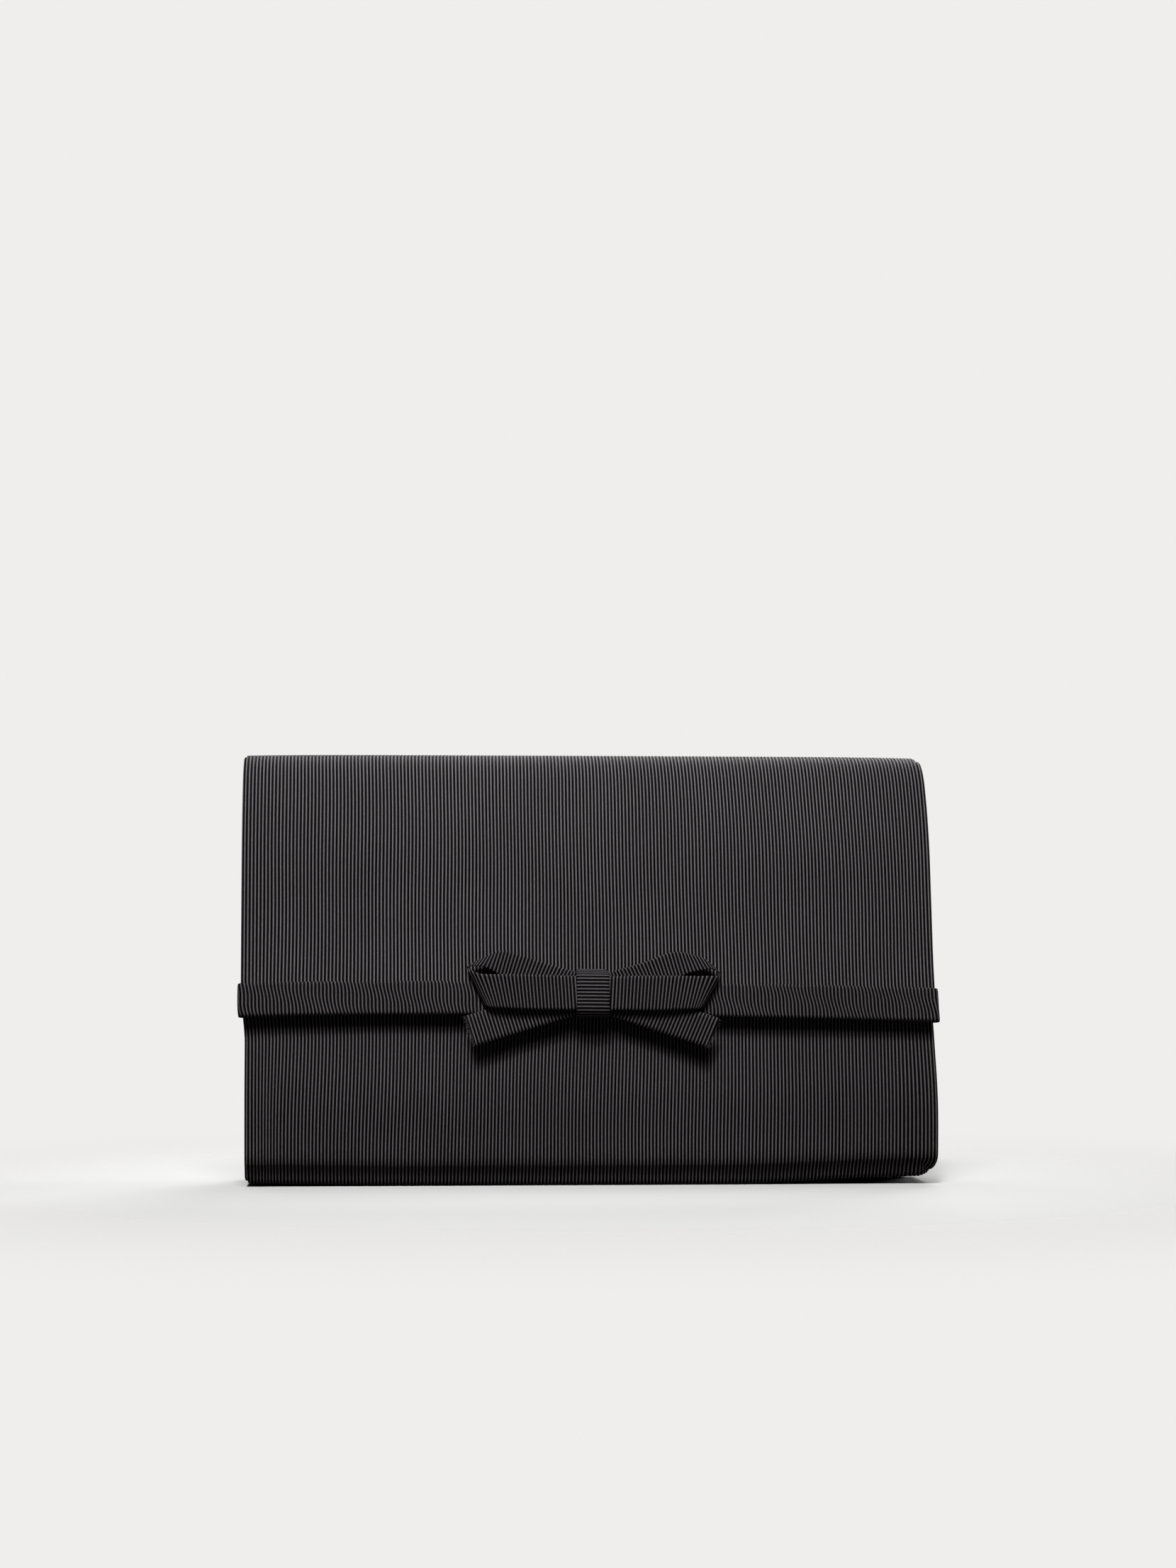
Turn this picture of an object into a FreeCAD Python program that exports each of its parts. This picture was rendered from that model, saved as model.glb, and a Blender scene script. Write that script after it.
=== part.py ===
import FreeCAD, Part
import math
import os

# A fold-over flap clutch bag. Millimetres, +Z up, front towards -Y, base on Z = 0.
# Seen from its side the bag is one outer line: down the front panel, under the base, up the
# back, over the top and down the flap. Every sheet is a stretch of that line, at its own depth.

# Overall size
BODY_WIDTH = 250.0
BODY_DEPTH = 50.0
HEIGHT = 158.5
FLAP_OVERHANG = 0.4
FLAP_HEM_HEIGHT = 61.0

# Outer line, from the front panel's top edge round to the flap's hem
FRONT_TOP_HEIGHT = 128.0
FRONT_LEAN = 11.0
FRONT_BEND_HEIGHT = 26.0
FRONT_BEND_RADIUS = 75.0
BASE_EDGE_RADIUS = 8.0
TOP_FOLD_RADIUS = 8.0
CROWN_RADIUS = 22.9
CROWN_TURN = 59.5
FLAP_BEND_RADIUS = 105.0

# Sheets, as depths below the outer line
COVER_THICKNESS = 0.9
BOARD_THICKNESS = 1.3
LINING_THICKNESS = 0.6
GLUE_LINE = 0.05
COVER = (0.0, COVER_THICKNESS)
BOARD = (COVER[1] + GLUE_LINE, COVER[1] + GLUE_LINE + BOARD_THICKNESS)
LINING = (BOARD[1] + GLUE_LINE, BOARD[1] + GLUE_LINE + LINING_THICKNESS)
WALL = LINING[1]

# Edges of the sheets
FOLD_GAP = 0.3
BOARD_FOLD_GAP = 4.0
BOARD_INSET = 1.0
LINING_INSET = 1.6
TURNED_EDGE = 9.0
CROWN_HINGE_TURN = 25.0

# Side gussets
GUSSET_INSET = 2.4
GUSSET_THICKNESS = 1.0
GUSSET_LINING_THICKNESS = 0.5
GUSSET_CLEARANCE = 0.3
GUSSET_FRONT_HEIGHT = 121.0
GUSSET_BACK_HEIGHT = 128.0

# Slip pocket on the back lining
POCKET_WIDTH = 130.0
POCKET_HEIGHT = 78.0
POCKET_BOTTOM = 22.0
POCKET_SEAM = 3.0
POCKET_GAP = 1.2
POCKET_THICKNESS = 0.6
POCKET_BINDING = 6.0

# Ribbon round the flap, just above its hem
RIBBON_WIDTH = 12.0
RIBBON_THICKNESS = 0.6
RIBBON_CENTRE_ABOVE_HEM = 7.4
RIBBON_CAP = 1.2
RIBBON_RETURN = 12.0
RIBBON_CLEARANCE = 0.05

# Bow: u runs along +X from its centre, v up the flap, w out of the flap's face
LOOP_TIP = (45.0, 9.6)
LOOP_FOLD_BOTTOM = (38.2, -4.4)
LOOP_FRONT_TOP = 7.4
LOOP_PEAK = (30.5, 16.3)
KNOT_HALF_WIDTH = 6.6
KNOT_TOP = 10.2
KNOT_BOTTOM = -7.3
KNOT_FRONT = 5.2
TAIL_LAYER = (0.85, 1.45)
LOOP_BACK_LAYER = (1.6, 2.2)
LOOP_FRONT_LAYER = (3.8, 4.4)
TAIL_LENGTH = 47.0
TAIL_TURN_LEFT = 15.6
TAIL_TURN_RIGHT = 18.9
TAIL_ROOT_V = -6.4
STITCH_RADIUS = 0.35
STITCH_HOLE_RADIUS = 0.45
STITCH_SPACING = 5.0

# Magnetic snap, between the flap and the front panel
SNAP_ABOVE_HEM = 26.0
SNAP_RADIUS = 7.0
SOCKET_HEIGHT = 1.9
SOCKET_SHELL = 0.3
SOCKET_HOLE_RADIUS = 2.7
MAGNET_RADIUS = 6.4
MAGNET_HOLE_RADIUS = 3.1
MAGNET_HEIGHT = 1.1
PRONG_PLATE = 0.3
STUD_HEIGHT = 0.7
STUD_PIN_RADIUS = 1.7
STUD_PIN_TIP_RADIUS = 1.3
STUD_PIN_LENGTH = 1.2
PRONG_OFFSET = 3.6
PRONG_WIDTH = 2.4
PRONG_THICKNESS = 0.4
PRONG_SLOT_CLEARANCE = 0.1
WASHER_RADIUS = 5.5
WASHER_THICKNESS = 0.4

FLAP_HALF_WIDTH = BODY_WIDTH / 2 + FLAP_OVERHANG
HALF_WIDTH = BODY_WIDTH / 2


class OuterLine:
    """Straight runs and left-hand arcs laid end to end in the (y, z) plane."""

    def __init__(self, start, heading):
        self.runs = []
        self.ends = {}
        self.point = start
        self.heading = math.radians(heading)
        self.length = 0.0

    def add(self, name, length, radius=None):
        self.runs.append((self.length, length, self.point, self.heading, radius))
        self.point = self.at(self.length + length)
        if radius:
            self.heading += length / radius
        self.length += length
        self.ends[name] = self.length

    def add_straight(self, name, length):
        self.add(name, length)

    def add_arc(self, name, radius, turn):
        self.add(name, radius * math.radians(turn), radius)

    def run_at(self, station):
        found = self.runs[0]
        for run in self.runs:
            if run[0] <= station + 1e-9:
                found = run
        return found

    def at(self, station, depth=0.0):
        """The point at a station along the line and a depth below it, as (y, z)."""
        first, length, point, heading, radius = self.run_at(station)
        if radius:
            centre = step(point, heading + math.pi / 2, radius)
            turned = heading + (station - first) / radius
            return step(centre, turned - math.pi / 2, radius - depth)
        along = step(point, heading, station - first)
        return step(along, heading + math.pi / 2, depth)

    def edges(self, first, last, depth):
        """The edges of the line between two stations, at a depth."""
        cuts = [first] + [r[0] for r in self.runs if first + 1e-6 < r[0] < last - 1e-6] + [last]
        found = []
        for low, high in zip(cuts, cuts[1:]):
            ends = [flat(self.inside(low, high, share, depth)) for share in (0.0, 0.5, 1.0)]
            if self.run_at((low + high) / 2)[4]:
                found.append(Part.Arc(*ends).toShape())
            else:
                found.append(Part.LineSegment(ends[0], ends[2]).toShape())
        return found

    def inside(self, low, high, share, depth):
        """A point of one run, which stays on that run at the run's own two ends."""
        first, length, point, heading, radius = self.run_at((low + high) / 2)
        station = low + (high - low) * share
        if radius:
            centre = step(point, heading + math.pi / 2, radius)
            turned = heading + (station - first) / radius
            return step(centre, turned - math.pi / 2, radius - depth)
        along = step(point, heading, station - first)
        return step(along, heading + math.pi / 2, depth)


def step(point, heading, distance):
    return (point[0] + distance * math.cos(heading), point[1] + distance * math.sin(heading))


def flat(point):
    return FreeCAD.Vector(0, point[0], point[1])


def wide(face, low, high):
    """Extrude a face that lies in the plane X = 0 from X = low to X = high."""
    solid = face.extrude(FreeCAD.Vector(high - low, 0, 0))
    solid.translate(FreeCAD.Vector(low, 0, 0))
    return solid


def box(low, high):
    size = [b - a for a, b in zip(low, high)]
    return Part.makeBox(*size, FreeCAD.Vector(*low))


def build_outer_line():
    lean = math.radians(FRONT_LEAN)
    bend_top = FRONT_BEND_HEIGHT + FRONT_BEND_RADIUS * math.sin(lean)
    front_length = (FRONT_TOP_HEIGHT - bend_top) / math.cos(lean)
    setback = FRONT_BEND_RADIUS * (1 - math.cos(lean)) + front_length * math.sin(lean)
    line = OuterLine((setback, FRONT_TOP_HEIGHT), -90 - FRONT_LEAN)
    line.add_straight("front", front_length)
    line.add_arc("front_bend", FRONT_BEND_RADIUS, FRONT_LEAN)
    line.add_straight("front_foot", FRONT_BEND_HEIGHT - BASE_EDGE_RADIUS)
    line.add_arc("front_corner", BASE_EDGE_RADIUS, 90)
    line.add_straight("bottom", BODY_DEPTH - 2 * BASE_EDGE_RADIUS)
    line.add_arc("back_corner", BASE_EDGE_RADIUS, 90)
    line.add_straight("back", HEIGHT - TOP_FOLD_RADIUS - BASE_EDGE_RADIUS)
    line.add_arc("top_fold", TOP_FOLD_RADIUS, 90)
    line.add_arc("crown", CROWN_RADIUS, CROWN_TURN)
    line.add_arc("flap_bend", FLAP_BEND_RADIUS, 90 - FRONT_LEAN - CROWN_TURN)
    line.add_straight("flap", (line.point[1] - FLAP_HEM_HEIGHT) / math.cos(lean))
    return line


LINE = build_outer_line()
MOUTH_HINGE = LINE.ends["front_foot"]
LIFT_HINGE = LINE.ends["back"] + TOP_FOLD_RADIUS * math.radians(45)
BEND_HINGE = LINE.ends["top_fold"] + CROWN_RADIUS * math.radians(CROWN_HINGE_TURN)
HEM = LINE.length


def sheet(first, last, layer, half_width):
    """A sheet between two stations of the outer line, filling one layer of the wall."""
    outer, inner = layer
    edges = LINE.edges(first, last, outer) + LINE.edges(first, last, inner)
    for station in (first, last):
        ends = [flat(LINE.at(station, depth)) for depth in layer]
        edges.append(Part.LineSegment(*ends).toShape())
    wire = Part.Wire(Part.__sortEdges__(edges))
    return wide(Part.Face(wire), -half_width, half_width)


def on_flap(solid, above_hem):
    """Move a solid made in (u, v, w) to its place on the straight part of the flap."""
    y, z = LINE.at(HEM - above_hem)
    solid.rotate(FreeCAD.Vector(0, 0, 0), FreeCAD.Vector(1, 0, 0), -FRONT_LEAN)
    solid.translate(FreeCAD.Vector(0, y, z))
    return solid


def plate(points, layer):
    """A flat plate drawn in (u, v) that fills one layer in w."""
    corners = [FreeCAD.Vector(u, -layer[0], v) for u, v in points]
    face = Part.Face(Part.makePolygon(corners + corners[:1]))
    return face.extrude(FreeCAD.Vector(0, layer[0] - layer[1], 0))


def pin(radius, low, high, u=0.0, v=0.0, tip_radius=None):
    """A round bar along w, from low to high."""
    base = FreeCAD.Vector(u, -low, v)
    out = FreeCAD.Vector(0, -1, 0)
    if tip_radius is None:
        return Part.makeCylinder(radius, high - low, base, out)
    return Part.makeCone(radius, tip_radius, high - low, base, out)


def case_covers():
    half_gap = FOLD_GAP / 2
    seam = LINE.ends["back_corner"]
    return {
        "bottom_cover": sheet(MOUTH_HINGE + half_gap, seam - GLUE_LINE, COVER, HALF_WIDTH),
        "back_cover": sheet(seam, LIFT_HINGE - half_gap, COVER, HALF_WIDTH),
    }


def case_boards():
    width = HALF_WIDTH - BOARD_INSET
    bottom = LINE.ends["front_corner"], LINE.ends["bottom"]
    back = LINE.ends["back_corner"] + BOARD_FOLD_GAP / 2, LINE.ends["back"] - BOARD_FOLD_GAP / 2
    return {
        "bottom_board": sheet(bottom[0], bottom[1], BOARD, width),
        "back_board": sheet(back[0], back[1], BOARD, width),
    }


def case_linings():
    width = HALF_WIDTH - LINING_INSET
    half_gap = FOLD_GAP / 2
    seam = LINE.ends["back_corner"]
    return {
        "bottom_lining": sheet(MOUTH_HINGE + half_gap, seam - GLUE_LINE, LINING, width),
        "back_lining": sheet(seam, LIFT_HINGE - half_gap, LINING, width),
    }


def gusset(low, high):
    """The side wall between the panels, as a plate from X = low to X = high."""
    depth = WALL + GUSSET_CLEARANCE
    lean = math.radians(FRONT_LEAN)
    front = (FRONT_TOP_HEIGHT - GUSSET_FRONT_HEIGHT) / math.cos(lean)
    back = LINE.ends["back_corner"] + GUSSET_BACK_HEIGHT - BASE_EDGE_RADIUS
    edges = LINE.edges(front, back, depth)
    edges.append(Part.LineSegment(flat(LINE.at(back, depth)), flat(LINE.at(front, depth))).toShape())
    return wide(Part.Face(Part.Wire(Part.__sortEdges__(edges))), low, high)


def gussets():
    outer = HALF_WIDTH - GUSSET_INSET
    inner = outer - GUSSET_THICKNESS
    lining = inner - GLUE_LINE - GUSSET_LINING_THICKNESS
    return {
        "left_gusset": gusset(-outer, -inner),
        "right_gusset": gusset(inner, outer),
        "left_gusset_lining": gusset(-inner + GLUE_LINE, -lining),
        "right_gusset_lining": gusset(lining, inner - GLUE_LINE),
    }


def slip_pocket():
    wall = BODY_DEPTH - WALL - GLUE_LINE
    panel = wall - POCKET_GAP
    half = POCKET_WIDTH / 2
    top = POCKET_BOTTOM + POCKET_HEIGHT
    seams = [
        box((-half, panel, POCKET_BOTTOM), (half, wall, POCKET_BOTTOM + POCKET_SEAM)),
        box((-half, panel, POCKET_BOTTOM + POCKET_SEAM), (POCKET_SEAM - half, wall, top)),
        box((half - POCKET_SEAM, panel, POCKET_BOTTOM + POCKET_SEAM), (half, wall, top)),
    ]
    face = panel - GLUE_LINE
    front = face - POCKET_THICKNESS
    binding = front - GLUE_LINE
    return {
        "pocket_seams": Part.makeCompound(seams),
        "pocket_panel": box((-half, front, POCKET_BOTTOM), (half, face, top)),
        "pocket_binding": box(
            (-half, binding - POCKET_THICKNESS, top - POCKET_BINDING), (half, binding, top)
        ),
    }


def turned_cover(first, last, edge, half_width):
    """A cover sheet whose end at one station is turned round the board's edge, like a hem."""
    into = 1 if edge == first else -1
    turn = sorted((edge, edge + into * COVER_THICKNESS))
    back = sorted((edge, edge + into * TURNED_EDGE))
    solid = sheet(first, last, COVER, half_width)
    solid = solid.fuse(sheet(turn[0], turn[1], (0.0, LINING[1]), half_width))
    return solid.fuse(sheet(back[0], back[1], LINING, half_width)).removeSplitter()


def front_panel():
    start = MOUTH_HINGE - FOLD_GAP / 2
    board_start = COVER_THICKNESS + GLUE_LINE
    cover = turned_cover(0.0, start, 0.0, HALF_WIDTH)
    board = sheet(board_start, start - BOARD_FOLD_GAP / 2, BOARD, HALF_WIDTH - BOARD_INSET)
    lining = sheet(TURNED_EDGE + GLUE_LINE, start, LINING, HALF_WIDTH - LINING_INSET)
    return {"front_cover": cover, "front_board": board, "front_lining": lining}


def flap_top():
    first = LIFT_HINGE + FOLD_GAP / 2
    last = BEND_HINGE - FOLD_GAP / 2
    inset = BOARD_FOLD_GAP / 2
    return {
        "top_cover": sheet(first, last, COVER, FLAP_HALF_WIDTH),
        "top_interlining": sheet(first + inset, last - inset, BOARD, FLAP_HALF_WIDTH - BOARD_INSET),
        "top_lining": sheet(first, last, LINING, FLAP_HALF_WIDTH - LINING_INSET),
    }


def flap_front():
    first = BEND_HINGE + FOLD_GAP / 2
    board_end = HEM - COVER_THICKNESS - GLUE_LINE
    cover = turned_cover(first, HEM, HEM, FLAP_HALF_WIDTH)
    board = sheet(first + BOARD_FOLD_GAP / 2, board_end, BOARD, FLAP_HALF_WIDTH - BOARD_INSET)
    lining_end = HEM - TURNED_EDGE - GLUE_LINE
    lining = sheet(first, lining_end, LINING, FLAP_HALF_WIDTH - LINING_INSET)
    return {"flap_cover": cover, "flap_board": board, "flap_lining": lining}


def ribbon_band():
    """The ribbon crosses the flap's face and is turned round both side edges."""
    half = RIBBON_WIDTH / 2
    edge = FLAP_HALF_WIDTH + RIBBON_CLEARANCE
    end = edge + RIBBON_CAP
    front = (RIBBON_CLEARANCE, RIBBON_CLEARANCE + RIBBON_THICKNESS)
    back = (-WALL - RIBBON_CLEARANCE - RIBBON_THICKNESS, -WALL - RIBBON_CLEARANCE)
    solid = plate([(-end, -half), (end, -half), (end, half), (-end, half)], front)
    for side in (-1, 1):
        cap = [(side * edge, -half), (side * end, -half), (side * end, half), (side * edge, half)]
        inner = side * (edge - RIBBON_RETURN)
        fold = [(inner, -half), (side * end, -half), (side * end, half), (inner, half)]
        solid = solid.fuse(plate(cap, (back[0], front[1])))
        solid = solid.fuse(plate(fold, back))
    return on_flap(solid.removeSplitter(), RIBBON_CENTRE_ABOVE_HEM)


def bow_loops():
    """One length of ribbon folded into both loops: front strip, raised back strip, end folds."""
    tip_u, tip_v = LOOP_TIP
    fold_u, fold_v = LOOP_FOLD_BOTTOM
    peak_u, peak_v = LOOP_PEAK
    knot = KNOT_HALF_WIDTH
    front = [
        (-fold_u, fold_v), (fold_u, fold_v), (tip_u, tip_v), (knot + 2, LOOP_FRONT_TOP),
        (-knot - 2, LOOP_FRONT_TOP), (-tip_u, tip_v),
    ]
    back = [
        (-fold_u, fold_v), (fold_u, fold_v), (tip_u, tip_v), (peak_u, peak_v),
        (knot, KNOT_TOP - 1), (-knot, KNOT_TOP - 1), (-peak_u, peak_v), (-tip_u, tip_v),
    ]
    solid = plate(front, LOOP_FRONT_LAYER).fuse(plate(back, LOOP_BACK_LAYER))
    for side in (-1, 1):
        fold = [
            (side * (fold_u - RIBBON_THICKNESS), fold_v), (side * fold_u, fold_v),
            (side * tip_u, tip_v), (side * (tip_u - RIBBON_THICKNESS), tip_v),
        ]
        solid = solid.fuse(plate(fold, (LOOP_BACK_LAYER[0], LOOP_FRONT_LAYER[1])))
    return on_flap(solid.removeSplitter(), RIBBON_CENTRE_ABOVE_HEM)


def tail_end(side, turn):
    """The outer corners of one tail: its lower corner first, then its upper one."""
    angle = math.radians(turn)
    along = (side * math.cos(angle), -math.sin(angle))
    across = (side * math.sin(angle), math.cos(angle))
    root = (side * KNOT_HALF_WIDTH, TAIL_ROOT_V)
    reach = TAIL_LENGTH - KNOT_HALF_WIDTH
    lower = (root[0] + along[0] * reach, root[1] + along[1] * reach)
    upper = (lower[0] + across[0] * RIBBON_WIDTH, lower[1] + across[1] * RIBBON_WIDTH)
    return lower, upper


def bow_tails():
    left_lower, left_upper = tail_end(-1, TAIL_TURN_LEFT)
    right_lower, right_upper = tail_end(1, TAIL_TURN_RIGHT)
    top = TAIL_ROOT_V + RIBBON_WIDTH
    root = KNOT_HALF_WIDTH
    outline = [
        (-root, TAIL_ROOT_V), (root, TAIL_ROOT_V), right_lower, right_upper,
        (root, top), (-root, top), left_upper, left_lower,
    ]
    return on_flap(plate(outline, TAIL_LAYER), RIBBON_CENTRE_ABOVE_HEM)


def bow_knot():
    """A short ribbon wrapped once round the bow's middle."""
    back = RIBBON_CLEARANCE + RIBBON_THICKNESS + 0.02
    outer = box((-KNOT_HALF_WIDTH, -KNOT_FRONT, KNOT_BOTTOM), (KNOT_HALF_WIDTH, -back, KNOT_TOP))
    wall = RIBBON_THICKNESS
    hollow = box(
        (-KNOT_HALF_WIDTH - 1, -KNOT_FRONT + wall, KNOT_BOTTOM + wall),
        (KNOT_HALF_WIDTH + 1, -back - 0.15, KNOT_TOP - wall),
    )
    rounded = [e for e in outer.Edges if abs(e.tangentAt(e.FirstParameter).x) > 0.99]
    front_edges = [e for e in rounded if e.CenterOfMass.y < -back - 0.1]
    return on_flap(outer.makeFillet(2.0, front_edges).cut(hollow), RIBBON_CENTRE_ABOVE_HEM)


def stitch_bars(radius, low, high):
    half = STITCH_SPACING / 2
    bars = [pin(radius, low, high, u) for u in (-half, half)]
    return on_flap(bars[0].fuse(bars[1]), RIBBON_CENTRE_ABOVE_HEM)


def bow_stitches():
    """Thread that ties the bow through the flap, with a bar on the lining side."""
    half = STITCH_SPACING / 2 + STITCH_RADIUS
    low = -WALL - 2 * STITCH_RADIUS
    front = RIBBON_CLEARANCE + RIBBON_THICKNESS
    bar = plate(
        [(-half, -STITCH_RADIUS), (half, -STITCH_RADIUS), (half, STITCH_RADIUS), (-half, STITCH_RADIUS)],
        (low, -WALL - 0.05),
    )
    bars = stitch_bars(STITCH_RADIUS, low, front)
    return bars.fuse(on_flap(bar, RIBBON_CENTRE_ABOVE_HEM)).removeSplitter()


def on_front(solid, station):
    """Move a solid made in (u, v, w) to its place on the straight part of the front panel."""
    y, z = LINE.at(station)
    solid.rotate(FreeCAD.Vector(0, 0, 0), FreeCAD.Vector(1, 0, 0), -FRONT_LEAN)
    solid.translate(FreeCAD.Vector(0, y, z))
    return solid


def front_station_under(above_hem):
    """The station of the front panel that faces a place on the flap."""
    lean = math.radians(FRONT_LEAN)
    y, z = LINE.at(HEM - above_hem)
    start_y, start_z = LINE.at(0.0)
    return (start_y - y) * math.sin(lean) + (start_z - z) * math.cos(lean)


def prong_slots(low, high):
    """Two slots for a snap's prongs, through the layers from low to high in w."""
    half_width = PRONG_WIDTH / 2 + PRONG_SLOT_CLEARANCE
    half_depth = PRONG_THICKNESS / 2 + PRONG_SLOT_CLEARANCE
    slots = []
    for side in (-1, 1):
        u = side * PRONG_OFFSET
        slots.append(box((u - half_depth, -high, -half_width), (u + half_depth, -low, half_width)))
    return slots[0].fuse(slots[1])


def prongs(low, high, foot):
    """Two flat legs from low to high in w, each bent outward in the layer foot."""
    half = PRONG_WIDTH / 2
    solid = None
    for side in (-1, 1):
        u = side * PRONG_OFFSET
        leg = box((u - PRONG_THICKNESS / 2, -high, -half), (u + PRONG_THICKNESS / 2, -low, half))
        end = sorted((u - side * PRONG_THICKNESS / 2, u + side * 1.6))
        bent = box((end[0], -foot[1], -half), (end[1], -foot[0], half))
        solid = leg.fuse(bent) if solid is None else solid.fuse(leg).fuse(bent)
    return solid.removeSplitter()


def snap_socket(nodes):
    """The socket half on the front panel: cup, ring magnet, prong plate and washer."""
    station = front_station_under(SNAP_ABOVE_HEM)
    base = GLUE_LINE
    plate_top = base + PRONG_PLATE
    cup = pin(SNAP_RADIUS, plate_top + 0.02, SOCKET_HEIGHT)
    cup = cup.cut(pin(SNAP_RADIUS - SOCKET_SHELL, plate_top, SOCKET_HEIGHT - SOCKET_SHELL))
    cup = cup.cut(pin(SOCKET_HOLE_RADIUS, 0, SOCKET_HEIGHT + 1))
    magnet_low = plate_top + 0.04
    magnet = pin(MAGNET_RADIUS, magnet_low, magnet_low + MAGNET_HEIGHT)
    magnet = magnet.cut(pin(MAGNET_HOLE_RADIUS, magnet_low - 1, magnet_low + MAGNET_HEIGHT + 1))
    # The washer and the bent prong feet lie in a recess in the board's inner face
    feet = (-BOARD[1] + 0.02, -BOARD[1] + 0.02 + PRONG_THICKNESS)
    washer_low = feet[1] + 0.02
    washer = pin(WASHER_RADIUS, washer_low, washer_low + WASHER_THICKNESS)
    washer = washer.cut(prong_slots(washer_low - 1, washer_low + WASHER_THICKNESS + 1))
    legs = prongs(feet[0], plate_top - 0.02, feet).fuse(pin(SNAP_RADIUS - 0.1, base, plate_top))
    recess = pin(WASHER_RADIUS + 0.1, -BOARD[1] - 0.1, washer_low + WASHER_THICKNESS + 0.02)
    slots = prong_slots(-BOARD[1] - 1, 1)
    nodes["snap_socket"] = on_front(cup, station)
    nodes["snap_magnet"] = on_front(magnet, station)
    nodes["socket_washer"] = on_front(washer, station)
    nodes["socket_prongs"] = on_front(legs.removeSplitter(), station)
    placed_slots = on_front(slots, station)
    nodes["front_cover"] = nodes["front_cover"].cut(placed_slots)
    nodes["front_board"] = nodes["front_board"].cut(placed_slots).cut(on_front(recess, station))


def snap_stud(nodes):
    """The stud half inside the flap: disc with its pin, prong plate and washer."""
    lining_face = -WALL
    plate_low = lining_face - GLUE_LINE - PRONG_PLATE
    disc_high = plate_low - 0.02
    disc_low = disc_high - STUD_HEIGHT
    disc = pin(SNAP_RADIUS, disc_low, disc_high)
    tip = pin(STUD_PIN_TIP_RADIUS, disc_low - STUD_PIN_LENGTH, disc_low, tip_radius=STUD_PIN_RADIUS)
    # The washer and the bent prong feet lie in a recess in the board's outer face
    feet = (-BOARD[0] - 0.02 - PRONG_THICKNESS, -BOARD[0] - 0.02)
    washer_high = feet[0] - 0.02
    washer = pin(WASHER_RADIUS, washer_high - WASHER_THICKNESS, washer_high)
    washer = washer.cut(prong_slots(washer_high - WASHER_THICKNESS - 1, washer_high + 1))
    legs = prongs(plate_low + 0.02, feet[1], feet)
    legs = legs.fuse(pin(SNAP_RADIUS - 0.1, plate_low, plate_low + PRONG_PLATE))
    recess = pin(WASHER_RADIUS + 0.1, washer_high - WASHER_THICKNESS - 0.02, -BOARD[0] + 0.1)
    slots = prong_slots(-WALL - 1, -BOARD[0])
    nodes["snap_stud"] = on_flap(disc.fuse(tip).removeSplitter(), SNAP_ABOVE_HEM)
    nodes["stud_prongs"] = on_flap(legs.removeSplitter(), SNAP_ABOVE_HEM)
    nodes["stud_washer"] = on_flap(washer, SNAP_ABOVE_HEM)
    placed_slots = on_flap(slots, SNAP_ABOVE_HEM)
    nodes["flap_lining"] = nodes["flap_lining"].cut(placed_slots)
    nodes["flap_board"] = nodes["flap_board"].cut(placed_slots).cut(on_flap(recess, SNAP_ABOVE_HEM))


def build_nodes():
    nodes = {}
    for group in (case_covers, case_boards, case_linings, gussets, slip_pocket):
        nodes.update(group())
    for group in (front_panel, flap_top, flap_front):
        nodes.update(group())
    snap_socket(nodes)
    snap_stud(nodes)
    nodes["ribbon_band"] = ribbon_band()
    nodes["bow_loops"] = bow_loops()
    nodes["bow_tails"] = bow_tails()
    nodes["bow_knot"] = bow_knot()
    nodes["bow_stitches"] = bow_stitches()
    holes = stitch_bars(STITCH_HOLE_RADIUS, -WALL - 1, 1)
    for name in ("flap_cover", "flap_board", "ribbon_band"):
        nodes[name] = nodes[name].cut(holes)
    return nodes


def main():
    nodes = build_nodes()
    extent = Part.makeCompound(list(nodes.values())).BoundBox
    middle = FreeCAD.Vector(0, -(extent.YMin + extent.YMax) / 2, 0)
    os.makedirs("parts", exist_ok=True)
    for name, solid in nodes.items():
        solid.translate(middle)
        solid.exportStep("parts/" + name + ".step")
        print(name, "valid", solid.isValid(), "solids", len(solid.Solids), "mm3", round(solid.Volume))
    print("size", round(extent.XLength, 3), round(extent.YLength, 3), round(extent.ZLength, 3))
    print("shift", round(middle.y, 4))
    for name, station in (("mouth", MOUTH_HINGE), ("lift", LIFT_HINGE), ("bend", BEND_HINGE)):
        y, z = LINE.at(station)
        print(name, "hinge y z", round(y + middle.y, 3), round(z, 3))


main()
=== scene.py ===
"""A fold-over flap clutch in ribbed black cloth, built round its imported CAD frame.

Seen from its side the bag is one outer line, in millimetres: down the front panel, under the
base, up the back, over the top and down the flap. A place on the bag is (x, station, depth):
x along the width, the station along that line, and a depth below it.
"""
import math

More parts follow.
